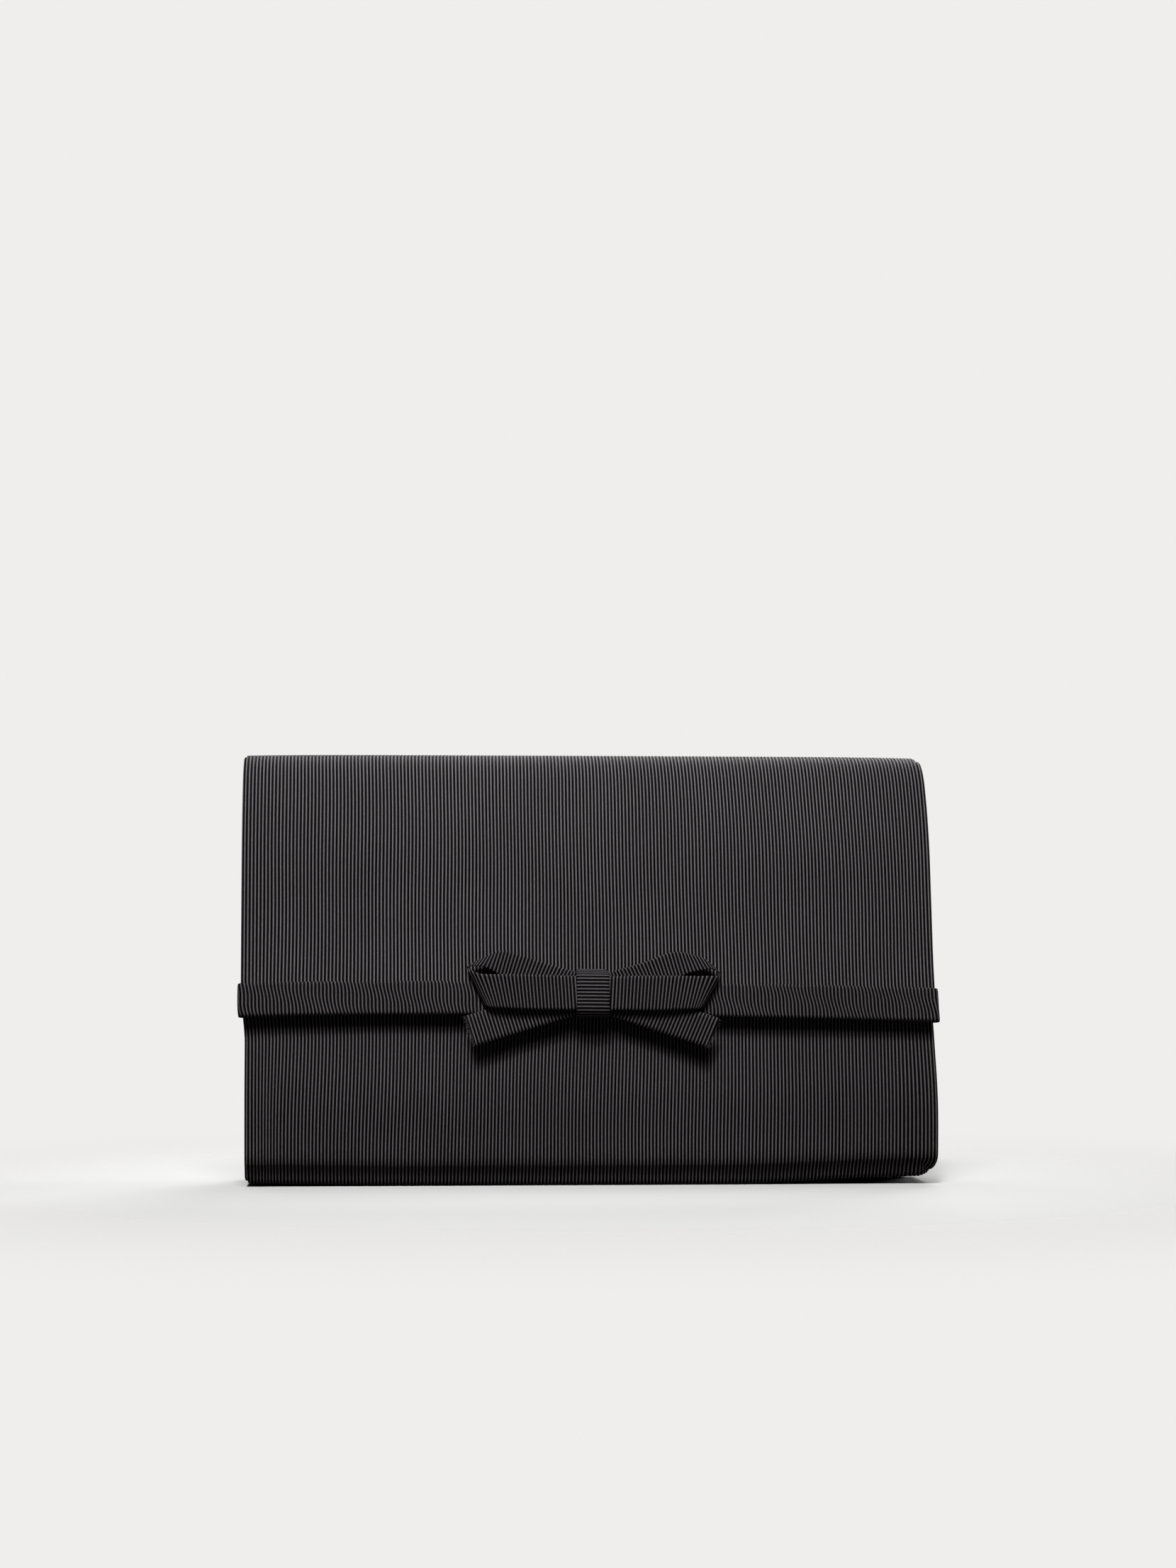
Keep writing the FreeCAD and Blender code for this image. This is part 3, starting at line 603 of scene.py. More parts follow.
def knot_edges():
    """The knot's ring in (v, w), which the ribbon follows with its width along u."""
    ring = smooth_curve([
        (-6.3, 1.1), (-7.0, 1.8), (-6.9, 3.0), (-6.1, 4.5), (-4.9, 5.5), (-2.0, 5.9),
        (1.5, 6.0), (4.8, 6.0), (6.9, 5.7), (8.3, 4.5), (9.6, 3.0), (10.2, 1.9),
        (9.6, 1.1), (6.0, 1.05), (0.0, 1.0), (-4.0, 1.05), (-6.3, 1.1),
    ], 300)[:-1]
    half_width = 5.95 - 0.6 * smooth(ring[:, 0], 8.0, 10.0)
    edges = []
    for side in (-1, 1):
        u = side * (half_width + 0.1 * np.sin(ring[:, 0] * 0.9 + side))
        edges.append(np.stack([u, ring[:, 0], ring[:, 1]], axis=-1))
    return edges


# ------------------------------------------------------------------ round parts and threads

def lathe(name, profile, centre_station, out_from, segments=72):
    """A turned part on the flap or front panel: profile is (radius, height outward) points."""
    angle = np.arange(segments) * 2 * math.pi / segments
    radius = np.array([p[0] for p in profile])[:, None]
    height = np.array([p[1] for p in profile])[:, None]
    x = radius * np.cos(angle)[None, :]
    station = centre_station + radius * np.sin(angle)[None, :]
    depth = out_from - height + 0 * x
    points = place(x, station, depth)
    return grid_mesh(name, points, None, wrap_columns=True, caps=True)


def new_object(name, data):
    """A new object in the scene."""
    made = bpy.data.objects.new(name, data)
    bpy.context.scene.collection.objects.link(made)
    return made


def thread_tubes(name, paths, radius, sides=6):
    """Fine threads as one mesh; each path is a list of points in metres."""
    edit = bmesh.new()
    for path in paths:
        path = np.array(path)
        tangent = np.gradient(path, axis=0)
        tangent /= np.linalg.norm(tangent, axis=1, keepdims=True) + 1e-12
        helper = np.array([0.31, 0.83, 0.46])
        across = np.cross(tangent, helper)
        across /= np.linalg.norm(across, axis=1, keepdims=True)
        other = np.cross(tangent, across)
        taper = np.minimum(1.0, np.minimum(np.arange(len(path)), np.arange(len(path))[::-1]) + 0.35)
        rings = []
        for k in range(len(path)):
            ring = []
            for a in np.arange(sides) * 2 * math.pi / sides:
                offset = (across[k] * math.cos(a) + other[k] * math.sin(a)) * radius * taper[k]
                ring.append(edit.verts.new(path[k] + offset))
            rings.append(ring)
        for first, second in zip(rings, rings[1:]):
            for a in range(sides):
                b = (a + 1) % sides
                edit.faces.new((first[a], first[b], second[b], second[a]))
        edit.faces.new(rings[0][::-1])
        edit.faces.new(rings[-1])
    bmesh.ops.recalc_face_normals(edit, faces=edit.faces)
    for face in edit.faces:
        face.smooth = True
    mesh = bpy.data.meshes.new(name)
    edit.to_mesh(mesh)
    edit.free()
    return new_object(name, mesh)


# ------------------------------------------------------------------ materials

class Nodes:
    """A short way to build one material's node tree."""

    def __init__(self, name):
        self.material = bpy.data.materials.new(name)
        self.material.use_nodes = True
        self.tree = self.material.node_tree
        self.tree.nodes.clear()
        self.output = self.node("OutputMaterial")
        self.shader = self.node("BsdfPrincipled")
        self.link(self.shader.outputs[0], self.output.inputs[0])

    def node(self, kind, **values):
        made = self.tree.nodes.new("ShaderNode" + kind)
        for key, value in values.items():
            made.inputs[key].default_value = value
        return made

    def link(self, source, target):
        self.tree.links.new(source, target)

    def set(self, **values):
        for key, value in values.items():
            self.shader.inputs[key.replace("_", " ")].default_value = value

    def math(self, operation, *values, clamp=False):
        made = self.node("Math")
        made.operation = operation
        made.use_clamp = clamp
        for socket, value in zip(made.inputs, values):
            if isinstance(value, (int, float)):
                socket.default_value = value
            else:
                self.link(value, socket)
        return made.outputs[0]

    def range(self, value, low, high, to_low=0.0, to_high=1.0, kind="SMOOTHSTEP"):
        made = self.node("MapRange")
        made.interpolation_type = kind
        self.link(value, made.inputs[0])
        for socket, number in zip(made.inputs[1:5], (low, high, to_low, to_high)):
            socket.default_value = number
        return made.outputs[0]

    def noise(self, scale, detail=2.0, roughness=0.5, vector=None):
        made = self.node("TexNoise", Scale=scale, Detail=detail, Roughness=roughness)
        self.link(vector or self.place(), made.inputs["Vector"])
        return made.outputs[0]

    def place(self):
        return self.node("TexCoord").outputs["Object"]

    def stretched(self, x, y, z):
        made = self.node("Mapping", Scale=(x, y, z))
        self.link(self.place(), made.inputs["Vector"])
        return made.outputs[0]

    def ribs(self):
        uv = self.node("UVMap")
        uv.uv_map = "ribs"
        split = self.node("SeparateXYZ")
        self.link(uv.outputs[0], split.inputs[0])
        return split.outputs[0], split.outputs[1]

    def ramp(self, value, stops):
        made = self.node("ValToRGB")
        ramp = made.color_ramp
        while len(ramp.elements) < len(stops):
            ramp.elements.new(0.5)
        for element, (position, color) in zip(ramp.elements, stops):
            element.position = position
            element.color = (*color, 1.0)
        self.link(value, made.inputs[0])
        return made.outputs[0]

    def bump(self, height, strength, distance):
        made = self.node("Bump", Strength=strength, Distance=distance)
        self.link(height, made.inputs["Height"])
        self.link(made.outputs[0], self.shader.inputs["Normal"])

    def color(self, source):
        self.link(source, self.shader.inputs["Base Color"])

    def roughness(self, source):
        self.link(source, self.shader.inputs["Roughness"])


CREST_TOP, CREST_FOOT = 0.06, 0.3
# Valley colour: dark yarn together with painted shade in the grooves
VALLEY_YARN_AND_SHADE = (0.0002, 0.00018, 0.0002)


def ribbed_cloth(name, ridge, bead_pitch, valley=VALLEY_YARN_AND_SHADE, rough=0.62):
    """Ribbed cloth, unevenly dyed: ridges wound with fine beaded thread and painted lighter as a painted
    sheen, valleys painted black for dark yarn and painted shade.
    """
    n = Nodes(name)
    across, along = n.ribs()
    phase = n.math("ABSOLUTE", n.math("SUBTRACT", n.math("FRACT", across), 0.5))
    on_crest = n.range(phase, CREST_FOOT, CREST_TOP)
    rib_number = n.math("MULTIPLY", n.math("FLOOR", across), 2.4)
    turns = n.math("MULTIPLY", along, 2 * math.pi * RIB / bead_pitch)
    beads = n.range(n.math("SINE", n.math("ADD", turns, rib_number)), -1.0, 0.7)
    fibre = n.noise(1.0, 3.0, 0.65, n.stretched(1500, 1500, 1900))
    cloudy = n.noise(30.0, 3.0, 0.6)
    tone = n.math("ADD", n.math("MULTIPLY", beads, 0.3), n.math("MULTIPLY", fibre, 0.75))
    tone = n.math("ADD", tone, n.math("MULTIPLY", cloudy, 0.3))
    # The crest mask paints the ridges lighter than the valleys: a painted sheen, with its lightest stop a
    # painted highlight on the beads
    level = n.math("MULTIPLY", on_crest, n.math("ADD", tone, 0.1), clamp=True)
    middle = tuple(b + (a - b) * 0.62 for a, b in zip(ridge, valley))
    painted_sheen = tuple(a * 1.6 for a in ridge)
    n.color(n.ramp(level, [(0.0, valley), (0.45, middle), (0.72, ridge), (1.0, painted_sheen)]))
    n.roughness(n.range(fibre, 0.2, 0.8, rough - 0.08, rough + 0.12, "LINEAR"))
    height = n.math("ADD", n.math("MULTIPLY", beads, on_crest), n.math("MULTIPLY", fibre, 0.8))
    n.bump(height, 0.6, 0.00007)
    n.set(Sheen_Weight=0.001, Sheen_Roughness=0.4, Specular_IOR_Level=0.005)
    return n.material


def satin(name, dark, light, rough):
    """Smooth lining satin: fine crossing threads and a soft streaky sheen."""
    n = Nodes(name)
    warp = n.noise(1.0, 2.0, 0.6, n.stretched(5200, 5200, 320))
    weft = n.noise(1.0, 2.0, 0.6, n.stretched(420, 420, 5600))
    cloudy = n.noise(30.0, 3.0)
    mixed = n.math("ADD", n.math("MULTIPLY", warp, 0.5), n.math("MULTIPLY", weft, 0.25))
    level = n.math("ADD", mixed, n.math("MULTIPLY", cloudy, 0.3), clamp=True)
    n.color(n.ramp(level, [(0.3, dark), (0.7, light)]))
    n.roughness(n.range(cloudy, 0.3, 0.7, rough - 0.06, rough + 0.08, "LINEAR"))
    n.bump(mixed, 0.35, 0.00004)
    n.set(Sheen_Weight=0.03, Sheen_Roughness=0.4, Specular_IOR_Level=0.1)
    return n.material


def grey_board(name, dark, light):
    """Pressed paper board or felted interlining: flecks and short fibres."""
    n = Nodes(name)
    fleck = n.noise(900.0, 4.0, 0.7)
    fibre = n.noise(1.0, 3.0, 0.6, n.stretched(500, 2600, 900))
    level = n.math("ADD", n.math("MULTIPLY", fleck, 0.55), n.math("MULTIPLY", fibre, 0.45))
    n.color(n.ramp(level, [(0.3, dark), (0.72, light)]))
    n.roughness(n.range(fleck, 0.2, 0.8, 0.8, 0.95, "LINEAR"))
    n.bump(level, 0.4, 0.0001)
    return n.material


def metal(name, dark, light, rough, metallic=1.0):
    """Plated metal or ferrite: faint turning marks, smudges and small scratches."""
    n = Nodes(name)
    smudge = n.noise(260.0, 3.0)
    scratch = n.noise(1.0, 2.0, 0.5, n.stretched(3800, 900, 700))
    n.color(n.ramp(smudge, [(0.3, dark), (0.7, light)]))
    wear = n.math("ADD", n.math("MULTIPLY", smudge, 0.5), n.math("MULTIPLY", scratch, 0.5))
    n.roughness(n.range(wear, 0.3, 0.7, rough - 0.05, rough + 0.12, "LINEAR"))
    n.bump(scratch, 0.12, 0.00002)
    n.set(Metallic=metallic)
    return n.material


def spun_thread(name, dark, light):
    """Matt sewing thread with a fine twist."""
    n = Nodes(name)
    twist = n.noise(1.0, 2.0, 0.6, n.stretched(3000, 3000, 6500))
    n.color(n.ramp(twist, [(0.35, dark), (0.7, light)]))
    n.roughness(n.range(twist, 0.3, 0.7, 0.55, 0.8, "LINEAR"))
    n.bump(twist, 0.5, 0.00005)
    n.set(Sheen_Weight=0.03, Specular_IOR_Level=0.1)
    return n.material


# Ridge colours are partly painted sheen and valley colours partly painted shade; see ribbed_cloth
COVER = ribbed_cloth("ribbed_cover", (0.0226, 0.0206, 0.0221), 0.47)
# The front panel's cloth is the cover's cloth painted darker: painted shade for the body under the flap
SHADED_FRONT_COVER = ribbed_cloth("ribbed_front_painted_shade", (0.0179, 0.0161, 0.0174), 0.47)
RIBBON = ribbed_cloth("grosgrain_ribbon", (0.015, 0.0136, 0.0146), 0.42)
GUSSET = ribbed_cloth("gusset_cloth", (0.036, 0.033, 0.035), 0.47, (0.0015, 0.0013, 0.0014), 0.65)
LINING = satin("lining_satin", (0.0075, 0.0068, 0.0075), (0.016, 0.0145, 0.016), 0.52)
BOARD = grey_board("grey_board", (0.2, 0.17, 0.13), (0.42, 0.37, 0.3))
FELT = grey_board("felt_interlining", (0.42, 0.41, 0.39), (0.68, 0.67, 0.64))
NICKEL = metal("snap_nickel", (0.3, 0.29, 0.27), (0.46, 0.45, 0.42), 0.26)
FERRITE = metal("magnet_ferrite", (0.03, 0.03, 0.032), (0.08, 0.08, 0.085), 0.55, 0.0)
THREAD = spun_thread("sewing_thread", (0.004, 0.0035, 0.004), (0.018, 0.0165, 0.018))


# ------------------------------------------------------------------ covers

def cover_widths(stations):
    """Half the cover's width along the line: the flap is a little wider than the body."""
    share = smooth(stations, LINE.ends["back"] - 20.0, TOP_SEAM)
    return HALF_WIDTH + (FLAP_HALF_WIDTH - HALF_WIDTH) * share


def build_covers():
    """The one cover in three lengths, each bending across one joint."""
    rows = station_rows(RIM, BACK_SEAM)
    front = covered_panel("front_cloth", rows[::-1], np.full(len(rows), HALF_WIDTH), hem="first")
    # The front length takes the cloth painted darker, a painted shade
    finish_piece(front, SHADED_FRONT_COVER, turn=MOUTH_TURN, replaced=["bottom_cover", "front_cover"])
    rows = station_rows(BACK_SEAM, TOP_SEAM)
    back = covered_panel("back_cloth", rows, cover_widths(rows))
    finish_piece(back, COVER, turn=LIFT_TURN, replaced=["back_cover", "top_cover"])
    rows = station_rows(TOP_SEAM, HEM - RIM)
    flap = covered_panel("flap_cloth", rows, cover_widths(rows), hem="last")
    finish_piece(flap, COVER, turn=BEND_TURN, replaced=["flap_cover"])


def build_boards():
    """Stiff boards in the flat panels, and a soft felt that bends over the top of the flap."""
    boards = {
        "bottom_board": ("case", LINE.ends["front_corner"], LINE.ends["bottom"], HALF_WIDTH),
        "back_board": ("case", BACK_SEAM + 2, LINE.ends["back"] - 4.6, HALF_WIDTH),
        "front_board": ("front_panel", RIM + 0.3, LINE.ends["front_foot"] - 2.2, HALF_WIDTH),
        "flap_board": ("flap_front", LINE.ends["crown"], HEM - RIM - 0.3, FLAP_HALF_WIDTH),
    }
    for node, (body, first, last, half) in boards.items():
        rows = edged(station_rows(first, last), 0.2)
        piece = slab(node + "_sheet", rows, half - BOARD_INSET - RIM, *BOARD_LAYER, edge=0.2)
        finish_piece(piece, BOARD, body, replaced=[node])
    rows = edged(station_rows(LINE.ends["back"] + 8.5, LINE.ends["crown"] - 1.5), 0.2)
    felt = slab("top_interlining_sheet", rows, FLAP_HALF_WIDTH - BOARD_INSET - RIM, *BOARD_LAYER, edge=0.2)
    finish_piece(felt, FELT, turn=BEND_TURN, replaced=["top_interlining"])


def build_linings():
    """The lining in the cover's three lengths, lapped a little where they meet."""
    body, flap = HALF_WIDTH - LINING_INSET, FLAP_HALF_WIDTH - FLAP_LINING_INSET
    hem_lap, seam_lap, overlay = 0.8, 0.6, 0.02
    lengths = (
        ("lining_front", HEM_MARGIN - hem_lap, BACK_SEAM, body, 0.0, 0.12,
         MOUTH_TURN, ["bottom_lining", "front_lining"]),
        ("lining_back", BACK_SEAM - 1.0, TOP_SEAM + seam_lap, body, overlay, 0.12,
         LIFT_TURN, ["back_lining", "top_lining"]),
        ("lining_flap", TOP_SEAM - seam_lap, HEM - HEM_MARGIN + hem_lap, flap, 0.0, 0.1,
         BEND_TURN, ["flap_lining"]),
    )
    for name, first, last, half, deeper, waves, turn, replaced in lengths:
        rows = edged(station_rows(first, last))
        piece = slab(name, rows, half, LINING_BACK + deeper, LINING_FACE + deeper, waves=waves)
        finish_piece(piece, LINING, turn=turn, replaced=replaced)


# ------------------------------------------------------------------ gussets, pocket, snap, bow

GUSSET_DEPTH = 2.75
GUSSET_FOLD = 8.0
GUSSET_SAG = 2.2
CREASE = 0.004


def gusset_surface(side, inset, rows=60, columns=41):
    """The side wall as a grid: straight edges on both panels, folded inward between them."""
    t = np.linspace(0, 1, rows)
    front_foot, front_top = LINE.ends["front_corner"] - 1.0, 7.2
    back_foot, back_top = LINE.ends["bottom"] + 1.0, LINE.ends["back_corner"] + 120.0
    front_station = front_foot + t * (front_top - front_foot)
    back_station = back_foot + t * (back_top - back_foot)
    front_s, front_z = LINE.points(front_station, np.full(rows, GUSSET_DEPTH))
    back_s, back_z = LINE.points(back_station, np.full(rows, GUSSET_DEPTH))
    q = np.linspace(0, 1, columns)[None, :]
    s = front_s[:, None] * (1 - q) + back_s[:, None] * q
    z = front_z[:, None] * (1 - q) + back_z[:, None] * q
    z = z - GUSSET_SAG * np.sin(math.pi * q) * t[:, None] ** 3
    fold = 1 - np.abs(2 * q - 1)
    fold = np.sqrt(fold ** 2 + CREASE) - math.sqrt(CREASE) * (1 - fold)
    fold = fold - 0.06 * smooth(fold, 0.8, 1.05)
    depth_in = GUSSET_FOLD * smooth(z, 12.0, HEIGHT - 40.0) * fold
    ripple = 0.25 * np.sin(z / 9.0 + q * 7.0) * np.sin(math.pi * q)
    x = side * (HALF_WIDTH - 2.6 - inset - depth_in - ripple)
    x, s, z = settle(x, s, z)
    return np.stack([x * MM, s * MM + FRONT_Y, z * MM], axis=-1), s, z


def build_gussets():
    """Both side walls, each of ribbed cloth with its lining inside."""
    for side, label in ((-1, "left"), (1, "right")):
        for part, insets, material, slot in (
                ("_gusset", (0.0, 0.7), GUSSET, "gusset_fabric"),
                ("_gusset_lining", (0.75, 1.15), LINING, "lining_fabric")):
            outer, s, z = gusset_surface(side, insets[0])
            inner = gusset_surface(side, insets[1])[0]
            uv = np.stack([there_and_back(s), there_and_back(z)], axis=-1) / RIB
            piece = grid_mesh(label + part + "_panel", there_and_back(outer, inner), uv,
                              wrap_columns=True, caps=True)
            finish_piece(piece, material, turn=GUSSET_TURN, replaced=[label + part])


def on_back(x, z, depth):
    """Places on the back panel at a height z."""
    return place(x, BACK_SEAM + z - BASE_EDGE, depth)


def pocket_face(x, z):
    """Depth of the pocket's face: flat at its sewn edges, and slack towards its open top."""
    off = smooth(POCKET_HALF - np.abs(x), 0.0, 3.2) * smooth(z - POCKET_FOOT, 0.0, 3.2)
    gape = np.cos(x / POCKET_HALF * math.pi / 2) * smooth(z, 55.0, POCKET_TOP)
    return LINING_FACE + 0.55 + 1.1 * off + 0.7 * gape


def build_pocket():
    """A slip pocket sewn to the back lining, bound along its top edge."""
    x = steps(-POCKET_HALF, POCKET_HALF, 2.6)
    z = np.concatenate([[POCKET_FOOT, POCKET_FOOT + 0.5], steps(POCKET_FOOT + 1.5, POCKET_TOP, 2.6)])
    x = np.concatenate([[-POCKET_HALF, -POCKET_HALF + 0.5], x[1:-1], [POCKET_HALF - 0.5, POCKET_HALF]])
    x, z = np.meshgrid(x, z)
    face = pocket_face(x, z) + 0.1 * np.sin(x / 8.0) * np.sin(z / 11.0)
    grid = there_and_back(on_back(x, z, face), on_back(x, z, face - POCKET_CLOTH))
    uv = np.stack([there_and_back(x), there_and_back(z)], axis=-1) / RIB
    panel = grid_mesh("pocket_sheet", grid, uv, wrap_columns=True, caps=True)
    finish_piece(panel, LINING, "case", replaced=["pocket_panel", "pocket_seams"])
    build_pocket_binding()
    build_pocket_stitches()


def build_pocket_binding():
    """A grosgrain binding folded over the pocket's top edge."""
    half = POCKET_HALF - 0.4
    x = np.linspace(-half, half, int(2 * half / RIB) * RIB_STEPS + 1)
    drop = np.array([6.0, 5.85, 4.0, 2.0, 0.6, 0.0, 0.0, 0.6, 2.0, 4.0, 5.85, 6.0])
    level = np.array([0.02, 0.32, 0.4, 0.4, 0.36, 0.15, -0.5, -0.72, -0.78, -0.78, -0.7, -0.5])
    up = np.array([0, 0, 0, 0, 0, 0.35, 0.35, 0, 0, 0, 0, 0])
    gx = np.repeat(x[:, None], len(drop), axis=1)
    gz = POCKET_TOP - drop[None, :] + up[None, :] + 0 * gx
    relief = rib_profile(x / RIB, BINDING_RELIEF)[:, None] * np.where(level > 0.1, 1.0, 0.0)[None, :]
    depth = pocket_face(gx, np.minimum(gz, POCKET_TOP)) + level[None, :] - relief
    points = on_back(gx, gz, depth)
    uv = np.stack([gx, gz], axis=-1) / RIB
    piece = grid_mesh("pocket_edge_binding", points, uv, wrap_columns=True, caps=True)
    finish_piece(piece, RIBBON, "case", replaced=["pocket_binding"])


def stitch_run(start, end, length=2.6, gap=0.7):
    """The ends of each stitch along a straight run, as pairs of (x, z)."""
    start, end = np.array(start), np.array(end)
    total = np.linalg.norm(end - start)
    count = int(total / (length + gap))
    along = (end - start) / total
    pitch = total / count
    return [(start + along * (k * pitch + gap / 2), start + along * ((k + 1) * pitch - gap / 2))
            for k in range(count)]


def build_pocket_stitches():
    """Stitches down both sides and along the foot of the pocket, and along its binding."""
    side, foot, top = POCKET_HALF - 1.4, POCKET_FOOT + 1.4, POCKET_TOP - 7.5
    bound_side, bound = POCKET_HALF - 2.0, POCKET_TOP - 5.1
    runs = [((-side, top), (-side, foot)), ((-side, foot), (side, foot)), ((side, foot), (side, top)),
            ((-bound_side, bound), (bound_side, bound))]
    rise = np.array([-0.12, 0.1, 0.18, 0.2, 0.18, 0.1, -0.12])
    paths = []
    for start, end in runs:
        for a, b in stitch_run(start, end):
            x, z = (a + (b - a) * np.linspace(0, 1, len(rise))[:, None]).T
            over_binding = 0.4 if start[1] == bound else 0.0
            paths.append(on_back(x, z, pocket_face(x, z) + rise + over_binding))
    piece = thread_tubes("pocket_stitches", paths, STITCH_THREAD * MM)
    finish_piece(piece, THREAD, "case")


def front_station_under(above_hem):
    """The place on the front panel straight behind one on the flap."""
    s, z = LINE.points(np.array(HEM - above_hem), np.array(0.0))
    start_s, start_z = LINE.points(np.array(0.0), np.array(0.0))
    return float((start_s - s) * math.sin(LEAN) + (start_z - z) * math.cos(LEAN))


def build_snap():
    """The snap's two turned faces, and the materials of its parts inside the walls."""
    cup = [(2.75, 0.4), (2.75, 1.5), (2.95, 1.78), (3.3, 1.9), (4.4, 1.9), (4.7, 1.78), (5.0, 1.82),
           (6.3, 1.86), (6.75, 1.7), (6.98, 1.35), (7.0, 0.5), (6.85, 0.36), (2.95, 0.34)]
    disc = [(0.0, 0.0), (6.7, 0.0), (7.0, 0.15), (7.0, 0.45), (6.8, 0.66), (6.3, 0.74), (5.6, 0.62),
            (5.2, 0.6), (3.2, 0.62), (2.6, 0.74), (1.85, 0.8), (1.7, 1.0), (1.55, 1.75), (1.3, 1.92),
            (0.9, 1.98), (0.0, 2.0)]
    socket = lathe("snap_socket_cup", cup, front_station_under(SNAP_ABOVE_HEM), 0.0)
    finish_piece(socket, NICKEL, "front_panel", replaced=["snap_socket"])
    stud = lathe("snap_stud_disc", [(r, -h) for r, h in disc], HEM - SNAP_ABOVE_HEM, LINING_FACE + 0.1)
    finish_piece(stud, NICKEL, "flap_front", replaced=["snap_stud"])
    for node, material in (("snap_magnet", FERRITE), ("socket_washer", NICKEL), ("socket_prongs", NICKEL),
                           ("stud_prongs", NICKEL), ("stud_washer", NICKEL)):
        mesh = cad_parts[node].data
        mesh.materials.clear()
        mesh.materials.append(material)


def build_bow():
    """The band, and the bow's tails, loops and knot; the left of a pair stands for both in CAD."""
    band = ribbon_piece("ribbon_band_strip", *band_edges(), across=13, lean=1.5)
    finish_piece(band, RIBBON, "flap_front", replaced=["ribbon_band"])
    for part, pair, edges, across in (("tail", TAILS, tail_edges, 9), ("loop", LOOPS, loop_edges, 15)):
        for label, shape in pair.items():
            piece = ribbon_piece("bow_" + part + "_" + label, *edges(**shape), across=across)
            finish_piece(piece, RIBBON, "flap_front",
                         replaced=["bow_" + part + "s"] if label == "left" else ())
    knot = ribbon_piece("bow_knot_wrap", *knot_edges(), closed=True, across=11, relief=KNOT_RELIEF)
    finish_piece(knot, RIBBON, "flap_front", replaced=["bow_knot"])
    build_bow_threads()


def build_bow_threads():
    """The thread that ties the bow through the flap, and the frayed threads of its tails."""
    paths = []
    for v in (-0.28, 0.0, 0.28):
        t = np.linspace(-1, 1, 17)
        w = -LINING_FACE - 0.1 - 0.45 * (1 - t ** 4) - 0.05 * np.cos(t * 9)
        paths.append(on_flap(t * 2.7, v + 0.06 * np.sin(t * 7 + v * 9), w))
    tie = thread_tubes("bow_tie_thread", paths, TIE_THREAD * MM)
    finish_piece(tie, THREAD, "flap_front", replaced=["bow_stitches"])
    random = np.random.default_rng(7)
    for label, tail in TAILS.items():
        low, high = np.array(tail["corner_low"]), np.array(tail["corner_high"])
        across = (high - low) / np.linalg.norm(high - low)
        outward = np.array([across[1], -across[0]]) * tail["side"]
        fringe = []
        for k in range(FRAYED_THREADS):
            share = (k + random.uniform(0.1, 0.9)) / FRAYED_THREADS
            base = low + (high - low) * share - outward * 0.5
            reach = random.uniform(0.7, 1.9)
            bend = random.uniform(-0.5, 0.5)
            t = np.linspace(0, 1, 6)
            u = base[0] + outward[0] * reach * t + across[0] * bend * t ** 2
            v = base[1] + outward[1] * reach * t + across[1] * bend * t ** 2
            w = 2.0 + 0.3 * share + random.uniform(-0.2, 0.2) + random.uniform(-0.4, 0.5) * t ** 2
            fringe.append(on_flap(u, v, w))
        piece = thread_tubes("bow_fray_" + label, fringe, FRAY_THREAD * MM, sides=4)
        finish_piece(piece, THREAD, "flap_front")


# ------------------------------------------------------------------ camera, floor and light

CAMERA_DISTANCE = 1.172
CAMERA_HEIGHT = 0.078
CAMERA_AZIMUTH = math.radians(-4.0)
LENS = 73.0
SENSOR_WIDTH = 36.0
LENS_SHIFT = 0.119

FLOOR_RADIUS = 6.0
FLOOR_COLOR = (0.112, 0.1115, 0.111, 1.0)
FLOOR_FADE = (0.13, 0.42)
BACKDROP_COLOR = (0.863, 0.855, 0.842, 1.0)
AMBIENT_COLOR = (0.99, 0.99, 1.0, 1.0)
AMBIENT = 0.1

# Soft boxes as (location, size, watts), all aimed at the bag's middle, and one soft spot
BOXES = {
    "key_box": ((-0.35, -3.5, 4.3), (2.4, 2.7), 1400.0),
    "top_box": ((0.1, 1.7, 4.6), (3.2, 2.2), 400.0),
    "back_box": ((1.6, 4.4, 3.2), (2.4, 2.0), 700.0),
    "side_box": ((4.2, 0.9, 1.7), (2.2, 2.0), 260.0),
}
BOX_TARGET = (0.0, 0.0, 0.08)
SPOT_LOCATION = (-0.3, -1.35, 1.95)
SPOT_TARGET = (-0.045, -0.02, 0.12)
SPOT_WATTS = 1500.0
SPOT_ANGLE = math.radians(10.0)
SPOT_SOFTNESS = 0.22


def build_camera():
    """A camera that looks level at the front, a little from its left."""
    camera = new_object("camera", bpy.data.cameras.new("camera"))
    camera.location = (CAMERA_DISTANCE * math.sin(CAMERA_AZIMUTH),
                       -CAMERA_DISTANCE * math.cos(CAMERA_AZIMUTH), CAMERA_HEIGHT)
    camera.rotation_euler = (math.pi / 2, 0.0, CAMERA_AZIMUTH)
    camera.data.lens = LENS
    camera.data.sensor_width = SENSOR_WIDTH
    camera.data.shift_y = LENS_SHIFT
    camera.data.clip_start = 0.02
    camera.data.clip_end = 50.0
    bpy.context.scene.camera = camera


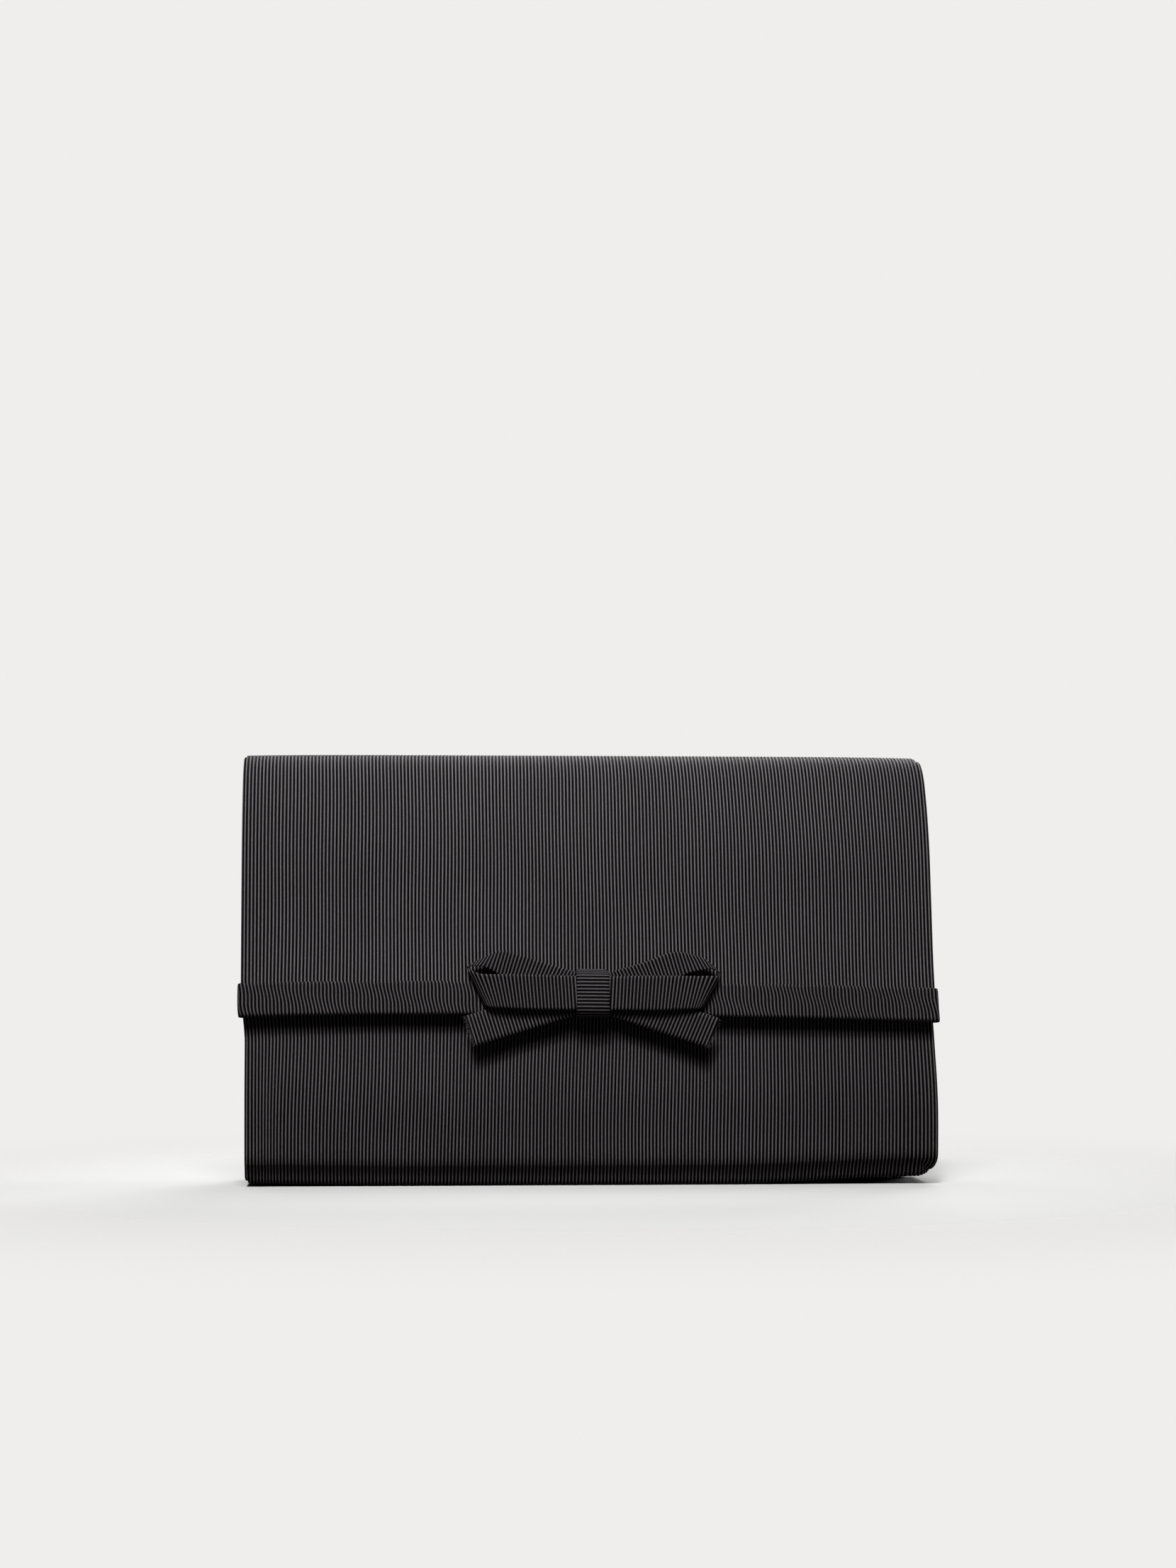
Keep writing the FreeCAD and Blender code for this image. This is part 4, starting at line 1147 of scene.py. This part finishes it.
def build_stage():
    """A plain floor that fades into the backdrop away from the bag."""
    bpy.ops.mesh.primitive_circle_add(vertices=96, radius=FLOOR_RADIUS, fill_type="NGON")
    floor = bpy.context.object
    floor.name = "floor"
    n = Nodes("floor_paper")
    n.set(Base_Color=FLOOR_COLOR, Roughness=1.0, Specular_IOR_Level=0.0)
    clear = n.node("BsdfTransparent")
    mix = n.node("MixShader")
    length = n.node("VectorMath")
    length.operation = "LENGTH"
    n.link(n.place(), length.inputs[0])
    n.link(n.range(length.outputs["Value"], *FLOOR_FADE), mix.inputs[0])
    n.link(n.shader.outputs[0], mix.inputs[1])
    n.link(clear.outputs[0], mix.inputs[2])
    n.link(mix.outputs[0], n.output.inputs[0])
    floor.data.materials.append(n.material)


def add_lamp(name, kind, location, target, watts):
    """A lamp aimed from its location at a target."""
    lamp = new_object(name, bpy.data.lights.new(name, kind))
    lamp.data.energy = watts
    lamp.location = location
    x, y, z = (b - a for a, b in zip(location, target))
    lamp.rotation_euler = (math.atan2(math.hypot(x, y), -z), 0.0, math.atan2(-x, y))
    return lamp


def build_light():
    """A pale backdrop all round, weak even light from it, four soft boxes and a soft spot."""
    world = bpy.data.worlds.new("studio")
    world.use_nodes = True
    tree = world.node_tree
    backdrop = tree.nodes["Background"]
    backdrop.inputs[0].default_value = BACKDROP_COLOR
    ambient = tree.nodes.new("ShaderNodeBackground")
    ambient.inputs[0].default_value = AMBIENT_COLOR
    ambient.inputs[1].default_value = AMBIENT
    seen = tree.nodes.new("ShaderNodeLightPath")
    mix = tree.nodes.new("ShaderNodeMixShader")
    tree.links.new(seen.outputs["Is Camera Ray"], mix.inputs[0])
    tree.links.new(ambient.outputs[0], mix.inputs[1])
    tree.links.new(backdrop.outputs[0], mix.inputs[2])
    tree.links.new(mix.outputs[0], tree.nodes["World Output"].inputs[0])
    bpy.context.scene.world = world
    for name, (location, size, watts) in BOXES.items():
        lamp = add_lamp(name, "AREA", location, BOX_TARGET, watts)
        lamp.data.shape = "RECTANGLE"
        lamp.data.size, lamp.data.size_y = size
    spot = add_lamp("soft_spot", "SPOT", SPOT_LOCATION, SPOT_TARGET, SPOT_WATTS)
    spot.data.spot_size = SPOT_ANGLE
    spot.data.spot_blend = 1.0
    spot.data.shadow_soft_size = SPOT_SOFTNESS
    bpy.context.scene.view_settings.view_transform = "Standard"


build_camera()
build_stage()
build_light()
build_covers()
build_boards()
build_linings()
build_gussets()
build_pocket()
build_snap()
build_bow()
